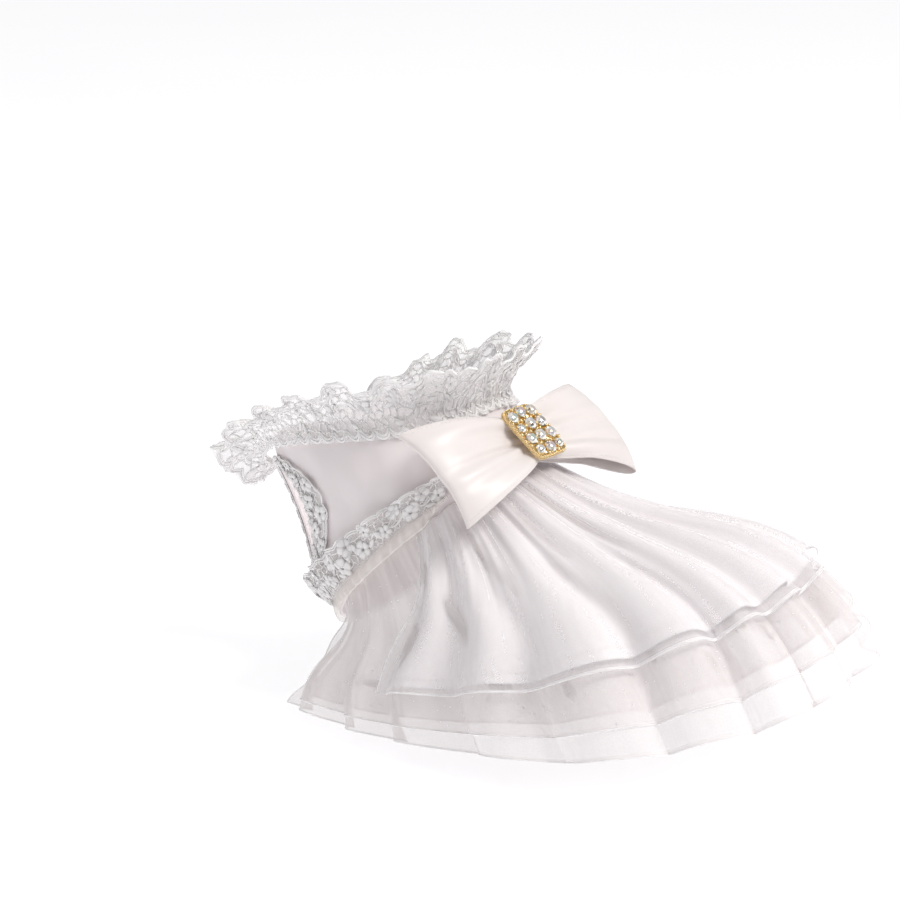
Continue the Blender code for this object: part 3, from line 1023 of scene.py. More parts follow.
def bead_tree() -> NodeTree:
    """Tree that puts a round bead on each point.

    Returns:
        The tree.
    """
    sizes = {"Radius": "NodeSocketFloat", "Rings": "NodeSocketInt", "Material": "NodeSocketMaterial"}
    tree, inlet, outlet = node_tree("beads_on_points", sizes)
    ball = add_node(
        tree,
        "GeometryNodeMeshIcoSphere",
        links={"Radius": inlet.outputs["Radius"], "Subdivisions": inlet.outputs["Rings"]},
    )
    placed = add_node(
        tree,
        "GeometryNodeInstanceOnPoints",
        links={"Points": inlet.outputs["Geometry"], "Instance": ball.outputs[0]},
    )
    end_tree(tree, placed, inlet, outlet, True)
    return tree


TREES: dict[str, NodeTree] = {}


def run_tree(made: Object, build: Callable[[], NodeTree], **sizes: object) -> Object:
    """Run a tree on an object with its sizes and keep the plain mesh.

    Args:
        made: The object.
        build: The function that builds the tree, which is built once.
        **sizes: Values of the tree's named inputs.

    Returns:
        The object with its result.
    """
    name = build.__name__
    tree = TREES.get(name) or TREES.setdefault(name, build())
    modifier = made.modifiers.new(tree.name, "NODES")
    modifier.node_group = tree
    for item in tree.interface.items_tree:
        if item.in_out == "INPUT" and item.name in sizes:
            modifier[item.identifier] = sizes[item.name]
    return settled(made)


def line_mesh(name: str, lines: Sequence[Array]) -> Object:
    """An object of edges along lines of points.

    Args:
        name: Its name.
        lines: Lines of points.

    Returns:
        The object.
    """
    points = np.concatenate(lines)
    edges, first = [], 0
    for line in lines:
        edges += [(first + k, first + k + 1) for k in range(len(line) - 1)]
        first += len(line)
    mesh = bpy.data.meshes.new(name)
    mesh.from_pydata([tuple(p) for p in points], edges, [])
    return link(name, mesh)


def cords(name: str, lines: Sequence[Array], radius: float, finish: Finish, sides: int = 5) -> Object:
    """Round cords along lines.

    Args:
        name: The object's name.
        lines: Lines of points.
        radius: Radius of a cord.
        finish: Its finish.
        sides: Sides of its section.

    Returns:
        The object.
    """
    made = line_mesh(name, lines)
    return run_tree(made, cord_tree, Radius=radius, Sides=sides, Material=finish.material())


def stitches(
    name: str, lines: Sequence[Array], spacing: float, length: float, radius: float, finish: Finish
) -> Object:
    """Stitches along lines.

    Args:
        name: The object's name.
        lines: Lines of points.
        spacing: Distance from stitch to stitch.
        length: Length of a stitch.
        radius: Radius of the thread.
        finish: Its finish.

    Returns:
        The object.
    """
    made = line_mesh(name, lines)
    return run_tree(
        made, stitch_tree, Spacing=spacing, Length=length, Radius=radius, Material=finish.material()
    )


def joined(name: str, parts: Sequence[Object]) -> Object:
    """Join plain objects into one, which keeps their finishes.

    Args:
        name: Name of the whole.
        parts: The objects, which are used up.

    Returns:
        The whole.
    """
    mesh = bpy.data.meshes.new(name)
    form = bmesh.new()
    finishes: list[Material] = []
    for part in parts:
        start = len(form.faces)
        form.from_mesh(part.data)
        form.faces.ensure_lookup_table()
        slots = list(part.data.materials)
        for slot in slots:
            if slot not in finishes:
                finishes.append(slot)
        for face in form.faces[start:]:
            face.material_index = finishes.index(slots[face.material_index])
        bpy.data.objects.remove(part, do_unlink=True)
    form.to_mesh(mesh)
    form.free()
    for finish in finishes:
        mesh.materials.append(finish)
    return link(name, mesh)


@dataclass
class LaceDraft:
    """Lace drawn flat, along and across its strip, and then laid on a surface."""

    length: float
    width: float
    seed: int
    scallop_step: float = 0.0007
    wave_step: float = 0.0008
    gimp_lift: float = 0.0002
    net: list[Array] = field(default_factory=list)
    gimp: list[Array] = field(default_factory=list)
    petals: list[Array] = field(default_factory=list)

    def add_net(self, cell: float, low: float, high: Callable[[float], float]) -> None:
        """Fill a band with uneven honeycomb cells.

        Args:
            cell: Width of a cell.
            low: Lower edge of the band.
            high: Its upper edge at a place along the strip.
        """
        rng = np.random.default_rng(self.seed)
        side = cell / math.sqrt(3)
        around = max(int(round(self.length / cell)), 1)
        cell = self.length / around
        rows = int((self.width - low) / (1.5 * side)) + 2
        knots: dict[tuple[int, int], Array] = {}
        ties: set[tuple[tuple[int, int], tuple[int, int]]] = set()
        for row in range(-1, rows):
            for column in range(around):
                x, y = (column + 0.5 * (row % 2)) * cell, low + row * 1.5 * side
                ring = []
                for corner in range(6):
                    turn = math.pi / 6 + corner * math.pi / 3
                    place = (x + cell / math.sqrt(3) * math.cos(turn), y + side * math.sin(turn))
                    key = (round(place[0] * 2e4), round(place[1] * 2e4))
                    if key not in knots:
                        knots[key] = np.array([*(np.array(place) + rng.normal(0, 0.15 * cell, 2)), 0.0])
                    ring.append(key)
                ties |= {tuple(sorted((ring[k], ring[(k + 1) % 6]))) for k in range(6)}
        for first, second in sorted(ties):
            a, b = knots[first], knots[second]
            if min(a[1], b[1]) >= low and a[1] <= high(a[0]) and b[1] <= high(b[0]):
                self.net.append(np.array([a, b]))

    def add_scallops(self, pitch: float, level: float, depth: float, rows: int = 1) -> None:
        """Gimp along a scalloped edge.

        Args:
            pitch: Width of a scallop.
            level: Height of its roots.
            depth: Rise of its crown, which may be negative.
            rows: Number of lines.
        """
        count = max(int(round(self.length / pitch)), 1)
        s = np.linspace(0, self.length, int(self.length / self.scallop_step))
        arch = np.abs(np.sin(math.pi * s / self.length * count)) ** 0.75
        for row in range(rows):
            t = level + depth * arch - math.copysign(0.0013, depth) * row
            self.gimp.append(vectors(s, t, self.gimp_lift))

    def add_wave(self, pitch: float, level: float, depth: float, phase: float) -> None:
        """A waving gimp line along the strip.

        Args:
            pitch: Length of a wave.
            level: Its middle height.
            depth: Its rise.
            phase: Its phase.
        """
        count = max(int(round(self.length / pitch)), 1)
        s = np.linspace(0, self.length, int(self.length / self.wave_step))
        t = level + depth * np.sin(TURN * s / self.length * count + phase)
        self.gimp.append(vectors(s, t, self.gimp_lift))

    def add_flower(self, s: float, t: float, radius: float, count: int, turn: float) -> None:
        """A flower of filled petals with a gimp edge.

        Args:
            s: Its place along the strip.
            t: Its place across the strip.
            radius: Its radius.
            count: Number of petals.
            turn: Its turn.
        """
        a, b = np.meshgrid(np.linspace(0, 1, 5), np.linspace(-1, 1, 5), indexing="ij")
        for petal in range(count):
            facing = turn + petal * TURN / count
            ahead = radius * (0.16 + 0.84 * a)
            aside = b * radius * (0.95 / count * 2.6) * np.sin(math.pi * (0.10 + 0.82 * a)) ** 0.8
            x = s + ahead * math.cos(facing) - aside * math.sin(facing)
            y = t + ahead * math.sin(facing) + aside * math.cos(facing)
            lift = 0.0005 + 0.0006 * (1 - b**2) * np.sin(math.pi * (0.15 + 0.7 * a))
            self.petals.append(vectors(x, y, lift))

    def add_leaf(self, s: float, t: float, length: float, turn: float) -> None:
        """A single filled leaf.

        Args:
            s: Its place along the strip.
            t: Its place across the strip.
            length: Its length.
            turn: Its turn.
        """
        a, b = np.meshgrid(np.linspace(0, 1, 6), np.linspace(-1, 1, 4), indexing="ij")
        aside = b * length * 0.24 * np.sin(math.pi * (0.04 + 0.92 * a))
        ahead = length * a
        x = s + ahead * math.cos(turn) - aside * math.sin(turn)
        y = t + ahead * math.sin(turn) + aside * math.cos(turn)
        self.petals.append(vectors(x, y, 0.0005 + 0.0004 * (1 - b**2)))

    def laid(
        self,
        name: str,
        surface: ClothSurface,
        to_surface: Callable[[Array, Array], tuple[Array, Array]],
        net_radius: float = 0.00030,
        gimp_radius: float = 0.00048,
    ) -> Object:
        """Lay the draft on a surface as raised cords and petals.

        Args:
            name: The object's name.
            surface: The surface.
            to_surface: Turns a place on the strip into the surface's parameters.
            net_radius: Radius of the net's thread.
            gimp_radius: Radius of the gimp.

        Returns:
            The object.
        """

        def on_cloth(points: Array) -> Array:
            """Place points of the draft on the cloth."""
            u, v = to_surface(points[..., 0], points[..., 1])
            return surface.lifted(u, v, points[..., 2] + 0.0002)

        parts = []
        if self.net:
            both = on_cloth(np.array(self.net))
            parts.append(cords(name + "_net", list(both), net_radius, GIMP, 4))
        if self.gimp:
            lines = [on_cloth(line) for line in self.gimp]
            parts.append(cords(name + "_gimp", lines, gimp_radius, GIMP, 5))
        if self.petals:
            points, faces = [], []
            for patch in self.petals:
                rows, columns = patch.shape[:2]
                start = sum(len(p) for p in points)
                points.append(on_cloth(patch).reshape(-1, 3))
                for i in range(rows - 1):
                    for j in range(columns - 1):
                        k = start + i * columns + j
                        faces.append((k, k + columns, k + columns + 1, k + 1))
            made = plain_mesh(name + "_petals", np.concatenate(points), faces, PETALS)
            made.data.shade_smooth()
            thick = made.modifiers.new("wall", "SOLIDIFY")
            thick.thickness = 0.0004
            thick.offset = 0.0
            parts.append(settled(made))
        return joined(name, parts)


@dataclass
class Piece:
    """A sub-assembly that builds its meshes and dresses them."""

    form: BodyForm
    node: str = ""
    node_slot: str = "satin"

    def declare(self, made: Object, node: str = "") -> Object:
        """Let a piece ride on the dress and stand for a node, whose CAD part it hides.

        Args:
            made: The piece.
            node: CAD node that it stands for, if any.

        Returns:
            The piece.
        """
        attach(made, "root")
        if node:
            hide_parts(node)
        return made


@dataclass
class Armholes:
    """Where the armholes lie on the bodice."""

    form: BodyForm
    angle: float = math.radians(139)
    half_width: float = 0.023
    half_length: float = 0.028
    place: float = 0.50

    def point(self, side: Side, turn: Array, grow: Array | float, out: Array | float) -> Array:
        """Points round an armhole, grown by a distance; turn 0 faces the back and 90 degrees the neck.

        Args:
            side: Left or right.
            turn: Angle round the hole.
            grow: Distance out of its edge.
            out: Distance out of the bodice's inner face.

        Returns:
            Points.
        """
        radius = (self.form.neck_width + self.form.waist_width) / 4
        swing = np.cos(turn) * (self.half_width + grow) / radius
        rise = np.sin(turn) * (self.half_length + grow) / self.form.side_length(self.angle)
        return self.form.point(self.place - rise, side.value * (self.angle - swing), out)


@dataclass
class Bodice(Piece):
    """The satin body with bound neckline and armholes."""

    node: str = "bodice"
    columns: int = 288
    rows: int = 56
    cutter_sides: int = 72
    binding: float = 0.0009
    weave: tuple[float, float] = (0.36, 0.060)
    cut: tuple[float, float] = (0.37, 0.074)
    cut_area: float = 0.0235

    def wall(self, angle: Array, share: Array) -> Array:
        """The body's inner face with faint pulls towards the bow and the armholes.

        Args:
            angle: Angle round the body.
            share: Share from neckline to waist.

        Returns:
            Points.
        """
        top = self.form.neckline(angle)
        bell = np.sin(math.pi * share)
        pull = 0.00035 * np.cos(26 * angle + 3 * np.sin(2 * angle)) * bell
        pull = pull + 0.0003 * np.cos(9 * angle + 14 * share) * bell
        return self.form.point(top + (1 - top) * share, angle, pull + 0.0001)

    def plug(self, side: Side, holes: Armholes) -> Object:
        """A plug in an armhole's outline, to cut the wall.

        Args:
            side: Left or right.
            holes: The armholes.

        Returns:
            The plug.
        """
        reach, turns = 0.005, np.linspace(0, TURN, self.cutter_sides + 1)[:-1]
        inner, outer = holes.point(side, turns, 0.0, -reach), holes.point(side, turns, 0.0, reach)
        middle_low = holes.point(side, turns, -holes.half_width * 0.9, -reach).mean(axis=0)
        middle_high = holes.point(side, turns, -holes.half_width * 0.9, reach).mean(axis=0)
        points = np.concatenate([inner, outer, [middle_low], [middle_high]])
        count, faces = len(turns), []
        for k in range(count):
            following = (k + 1) % count
            faces.append((k, following, following + count, k + count))
            faces.append((2 * count, following, k))
            faces.append((2 * count + 1, k + count, following + count))
        return faced_outwards(plain_mesh(f"plug_{side.name.lower()}", points, faces, None))

    def build(self, holes: Armholes) -> None:
        """Build the body, its bindings and its stitches.

        Args:
            holes: The armholes.
        """
        body = cloth_sheet(
            "bodice_satin",
            ClothSurface(self.wall),
            np.linspace(-math.pi, math.pi, self.columns + 1),
            np.linspace(0, 1, self.rows + 1),
            self.weave,
            SATIN,
            round_u=True,
            wall=self.form.wall * 0.85,
        )
        plugs = [self.plug(side, holes) for side in Side]
        for plug in plugs:
            cut = body.modifiers.new("cut_" + plug.name, "BOOLEAN")
            cut.operation, cut.solver, cut.object = "DIFFERENCE", "EXACT", plug
        settled(body)
        for plug in plugs:
            bpy.data.objects.remove(plug, do_unlink=True)
        body.data.shade_smooth()
        self.declare(body, self.node)
        turns = np.linspace(0, TURN, 161)
        middle = self.form.wall / 2
        edges = [holes.point(side, turns, 0.0, middle) for side in Side]
        around = np.linspace(-math.pi, math.pi, 301)
        edges.append(self.form.point(self.form.neckline(around), around, middle))
        edges.append(self.form.point(np.full_like(around, 1.0), around, middle))
        binding = cords("bodice_binding", edges, self.binding, SATIN, 8)
        self.declare(binding)
        seams = [holes.point(side, turns, 0.0022, self.form.wall) for side in Side]
        seams.append(self.form.point(self.form.neckline(around) + 0.03, around, self.form.wall))
        thread = stitches("bodice_stitches", seams, 0.0026, 0.0017, 0.00016, GIMP)
        self.declare(thread)
        LOG.info("bodice: %d faces", len(body.data.polygons))


@dataclass
class BellyClosure(Piece):
    """The plain fastening strip on the belly line, with its box stitching."""

    node: str = "belly_closure"
    width: float = 0.016
    start: float = 0.12
    end: float = 0.76
    weave_length: float = 0.05
    cut: tuple[float, float] = (0.017, 0.068)

    def build(self) -> None:
        """Build the strip and its stitches."""
        half = self.width / (self.form.waist_width + self.form.neck_width) * 2
        top = float(self.form.neckline(np.array(math.pi)))

        def strip(angle: Array, share: Array) -> Array:
            """The strip over the belly line."""
            run = top + (1 - top) * (self.start + (self.end - self.start) * share)
            return self.form.point(run, angle, self.form.wall + self.form.trim_gap)

        surface = ClothSurface(strip)
        angles = np.linspace(math.pi - half, math.pi + half, 25)
        weave, shares = (self.width, self.weave_length), np.linspace(0, 1, 49)
        made = cloth_sheet("closure_strip", surface, angles, shares, weave, SATIN, wall=self.form.wall)
        settled(made)
        inner = np.linspace(math.pi - half * 0.8, math.pi + half * 0.8, 20)
        down = np.linspace(0.05, 0.95, 40)
        lift = self.form.wall * 1.05
        box = [
            surface.lifted(inner, np.full_like(inner, 0.05), lift),
            surface.lifted(inner, np.full_like(inner, 0.95), lift),
            surface.lifted(np.full_like(down, inner[0]), down, lift),
            surface.lifted(np.full_like(down, inner[-1]), down, lift),
        ]
        thread = stitches("closure_stitches", box, 0.0026, 0.0017, 0.00018, GIMP)
        self.declare(made, self.node)
        self.declare(thread)
        LOG.info("belly closure: %d faces", len(made.data.polygons))


@dataclass
class Collar(Piece):
    """The gathered net-lace collar: it stands at the nape and rolls over on sides and chest."""

    node: str = "collar_ruffle"
    node_slot: str = "lace"
    width: float = 0.036
    wave: float = 0.0036
    ruffles: int = 20
    flat_length: float = 0.62
    cut: tuple[float, float] = (0.54, 0.036)
    columns: int = 960
    rows: int = 30
    section: Table = Table(
        [
            (0, 0.00, -0.14, 0.08, 0.30, 0.60, 0.70),
            (45, 0.00, -0.28, 0.08, 0.28, 0.60, 0.60),
            (90, 0.02, -0.28, 0.06, 0.34, 0.48, 0.46),
            (135, 0.12, -0.20, 0.20, 0.26, 0.80, 0.04),
            (180, 0.10, -0.16, 0.30, 0.16, 0.84, -0.28),
        ]
    )

    def ruffle(self, angle: Array, share: Array) -> Array:
        """The ruffle: share 0 is its lower edge on the satin and 1 its free edge.

        Args:
            angle: Angle round the body.
            share: Share from seam to edge.

        Returns:
            Points.
        """
        phase = self.ruffles * angle + 0.9 * np.sin(3 * angle + 1.0) + 0.6 * np.sin(7 * angle)
        full = 0.85 + 0.25 * np.sin(5 * angle + 2.0) + 0.15 * np.sin(11 * angle)
        full = full - 0.25 * np.cos(angle / 2) ** 8
        swing = 0.34 / self.ruffles * np.sin(2 * phase) * np.abs(share) ** 1.4
        angle = angle + swing
        fall_out, fall_up, bend_out, bend_up, edge_out, edge_up = self.section.at(from_ridge(angle))
        rest = 1 - share
        out = rest**2 * fall_out + 2 * share * rest * bend_out + share**2 * edge_out
        up = rest**2 * fall_up + 2 * share * rest * bend_up + share**2 * edge_up
        wave = np.cos(phase) * self.wave * share * full
        wave = wave + 0.0006 * np.cos(53 * angle + 2 * np.sin(4 * angle)) * share**2
        low = 0.0005 * (1 + np.cos(41 * angle)) * rest**3
        seat = self.form.wall + self.form.fit_gap + 0.0004
        top = self.form.neckline(angle) + np.maximum(-up, 0) * self.width / self.form.side_length(angle)
        up = np.maximum(up, 0)
        seam = self.form.point(top, angle, seat)
        away = self.form.point(top, angle, seat + self.width) - seam
        away = away / np.linalg.norm(away, axis=-1, keepdims=True)
        rise = -self.form.along(self.form.neck_tilt)
        outwards = out * self.width + wave * 0.6 + low
        return seam + away * outwards[..., None] + rise * (up * self.width + wave)[..., None]

    def build(self) -> None:
        """Build the ground net and the lace on it."""
        surface = ClothSurface(self.ruffle, flip=True, step=2e-3)
        angles = np.linspace(-math.pi, math.pi, self.columns + 1)
        flat = (self.flat_length, self.width)
        ground = cloth_sheet(
            "collar_net", surface, angles, np.linspace(0, 1, self.rows + 1), flat, CLOSE_NET, round_u=True
        )
        draft = LaceDraft(self.flat_length, self.width, 11)
        draft.add_net(0.0056, 0.0030, lambda s: self.width * 0.94)
        draft.add_scallops(0.0120, self.width * 0.92, self.width * 0.08, rows=2)
        draft.add_scallops(0.0110, self.width * 0.11, -self.width * 0.10, rows=2)
        draft.add_wave(0.037, self.width * 0.60, 0.0052, 0.0)
        rng = np.random.default_rng(5)
        count = 30
        for k in range(count):
            s = (k + 0.5) / count * self.flat_length
            place, level = s + rng.normal(0, 0.002), self.width * rng.uniform(0.50, 0.84)
            draft.add_flower(place, level, rng.uniform(0.0040, 0.0062), 5, k)
            for _ in range(5):
                place, level = s + rng.uniform(-0.009, 0.009), self.width * rng.uniform(0.12, 0.80)
                draft.add_leaf(place, level, rng.uniform(0.005, 0.009), rng.uniform(0, 3.1))

        def to_surface(s: Array, t: Array) -> tuple[Array, Array]:
            """Turn a place on the strip into the surface's parameters."""
            return s / self.flat_length * TURN - math.pi, np.clip(t / self.width, 0.0, 1.03)

        work = draft.laid("collar_lace", surface, to_surface, 0.00052, 0.00072)
        self.declare(ground, self.node)
        self.declare(work)
        LOG.info("collar: %d and %d faces", len(ground.data.polygons), len(work.data.polygons))


@dataclass
class ArmholeLace(Piece):
    """Floral lace round one armhole, widest behind it."""

    node_slot: str = "lace"
    side: Side = Side.LEFT
    width: float = 0.014
    start: float = 0.06
    flat_length: float = 0.19
    mean_width: float = 0.50
    widths: Table = Table([(-180, 0.42), (-90, 0.30), (0, 1.00), (90, 0.24), (180, 0.42)])

    def build(self, holes: Armholes) -> None:
        """Build the ground net and its flowers.

        Args:
            holes: The armholes.
        """
        name = self.side.name.lower()

        def band(turn: Array, share: Array) -> Array:
            """The lace round the hole."""
            facing = np.degrees(np.arctan2(np.sin(turn), np.cos(turn)))
            width = self.widths.at(facing)[0] * self.width
            ripple = 0.0004 * (1 + np.cos(17 * turn)) * share
            reach = self.start + (1 - self.start) * share
            return holes.point(self.side, turn, width * reach, self.form.wall + self.form.trim_gap + ripple)

        surface = ClothSurface(band, flip=self.side is Side.LEFT)
        turns, shares = np.linspace(0, TURN, 241), np.linspace(0, 1, 15)
        flat = (self.flat_length, self.width)
        ground = cloth_sheet(f"armhole_net_{name}", surface, turns, shares, flat, CLOSE_NET, True)
        draft = LaceDraft(self.flat_length, self.width, 21)
        draft.add_net(0.0046, 0.0006, lambda s: self.width * 0.95)
        draft.add_scallops(0.0080, self.width * 0.93, self.width * 0.08, rows=1)
        draft.add_scallops(0.0062, self.width * 0.02, -self.width * 0.04, rows=1)
        rng = np.random.default_rng(31)
        count = 24
        for k in range(count):
            s = (k + 0.5) / count * self.flat_length
            draft.add_flower(s, self.width * (0.30 + 0.42 * (k % 2)), rng.uniform(0.0034, 0.0044), 5, k * 0.7)
            draft.add_leaf(s + 0.003, self.width * 0.1, 0.0044, rng.uniform(0.3, 2.8))
            draft.add_flower(s + 0.004, self.width * 0.06, 0.0024, 5, k * 0.4)

        def to_surface(s: Array, t: Array) -> tuple[Array, Array]:
            """Turn a place on the strip into the surface's parameters."""
            return s / self.flat_length * TURN, np.clip(t / self.width, -0.12, 1.05)

        work = draft.laid(f"armhole_lace_{name}", surface, to_surface, 0.00036, 0.00046)
        self.declare(ground, f"armhole_trim_{name}")
        self.declare(work)
        LOG.info("armhole lace %s: %d faces", name, len(work.data.polygons))


@dataclass
class WaistLace(Piece):
    """The lace frill along the waist seam, over a narrow gathered tulle band."""

    node: str = "waist_trim"
    node_slot: str = "lace"
    width: float = 0.020
    end_share: float = 0.55
    start: float = math.radians(45)
    wave: float = 0.0022
    ruffles: int = 15
    flat_length: float = 0.40
    fold_room: float = 0.0062 * 0.11
    cut_length: float = 0.34
    band_weave: tuple[float, float] = (0.5, 0.012)
    band_cut: tuple[float, float] = (0.36, 0.0105)
    band_reach: float = 0.0026

    def place(self, angle: Array) -> Array:
        """Share along the frill at an angle."""
        return (angle - self.start) / (TURN - 2 * self.start)

    def above(self) -> float:
        """Distance of the frill's seam above the waist, clear of the skirts."""
        return 2 * self.form.layer_step + self.fold_room + self.form.trim_gap

    def frill(self, angle: Array, share: Array) -> Array:
        """The frill: share 0 is its seam and 1 its free edge.

        Args:
            angle: Angle round the body.
            share: Share from seam to edge.

        Returns:
            Points.
        """
        place, above = self.place(angle), self.above()
        full = self.end_share + (1 - self.end_share) * np.sin(math.pi * np.clip(place, 0, 1))
        phase = TURN * self.ruffles * place + 0.8 * np.sin(19 * place)
        wave = (1 + np.cos(phase)) * self.wave + 0.0006 * (1 + np.cos(TURN * 47 * place))
        rise = (above + share * full * self.width) / self.form.side_length(angle)
        lift = self.form.wall + self.form.trim_gap
        lift = lift + (self.form.wall + self.form.trim_gap) * np.minimum(1.0, 2.0 * share)
        swing = 0.5 / 30 * np.sin(2 * phase) * share
        return self.form.point(1 - rise, angle + swing, lift + 0.0003 + wave * share)

    def gathers(self, angle: Array, share: Array) -> Array:
        """The band under the frill: share 0 is next to the lace and 1 its edge on the skirt.

        Args:
            angle: Angle round the body.
            share: Share from the lace to the edge.

        Returns:
            Points.
        """
        place, above = self.place(angle), self.above()
        pleat = 0.0007 * np.cos(TURN * 60 * place + 5 * np.sin(23 * place)) * (1 + 0.5 * np.sin(71 * place))
        ends = np.clip(np.minimum(place, 1 - place) / 0.05, 0.25, 1)
        down = above - (above + self.band_reach) * share * ends
        swell = np.sin(math.pi * share)
        skirted = np.clip((np.cos(angle) + 0.62) / 0.2, 0.3, 1)
        rise = 0.0046 * np.sqrt(np.clip(share * 1.6, 0, 1)) + 0.0010 * swell + pleat * (0.3 + swell)
        lift = 0.0020 + rise * skirted
        return self.form.point(1 - down / self.form.side_length(angle), angle, lift)

    def build(self) -> None:
        """Build the frill's net, its lace and the band of gathers."""
        angles = np.linspace(self.start, TURN - self.start, 721)
        surface = ClothSurface(self.frill, flip=True)
        flat = (self.flat_length, self.width)
        ground = cloth_sheet("waist_net", surface, angles, np.linspace(0, 1, 19), flat, NET)
        draft = LaceDraft(self.flat_length, self.width, 41)
        draft.add_net(0.0048, 0.0004, lambda s: self.width * 0.96)
        draft.add_scallops(0.0090, self.width * 0.92, self.width * 0.09, rows=2)
        draft.add_wave(0.022, self.width * 0.40, 0.0026, 0.5)
        rng = np.random.default_rng(43)
        count = 40
        for k in range(count):
            s = (k + 0.5) / count * self.flat_length
            draft.add_flower(s, self.width * (0.32 + 0.40 * (k % 2)), rng.uniform(0.0038, 0.0060), 5, k * 0.9)
            draft.add_leaf(s + 0.004, self.width * rng.uniform(0.05, 0.6), 0.0066, rng.uniform(0.3, 2.8))

        def to_surface(s: Array, t: Array) -> tuple[Array, Array]:
            """Turn a place on the strip into the surface's parameters."""
            u = self.start + np.clip(s / self.flat_length, 0, 1) * (TURN - 2 * self.start)
            return u, np.clip(t / self.width, 0.0, 1.03)

        work = draft.laid("waist_lace", surface, to_surface, 0.00038, 0.00050)
        gathers, shares = ClothSurface(self.gathers), np.linspace(0, 1, 15)
        band = cloth_sheet("waist_gathers", gathers, angles, shares, self.band_weave, CREAM_TULLE)
        self.declare(ground, self.node)
        self.declare(work)
        self.declare(band)
        LOG.info("waist lace: %d faces", len(work.data.polygons))


class SkirtLayer(NamedTuple):
    """One skirt layer: its node, half angle in degrees, nesting, length as a share, finish and folds."""

    name: str
    node: str
    half_angle: float
    layer: float
    extra: float
    length: float
    finish: Finish
    slot: str
    hem_cord: float
    flutter: float
    flap: float = 0.0
    pull: float = 0.0


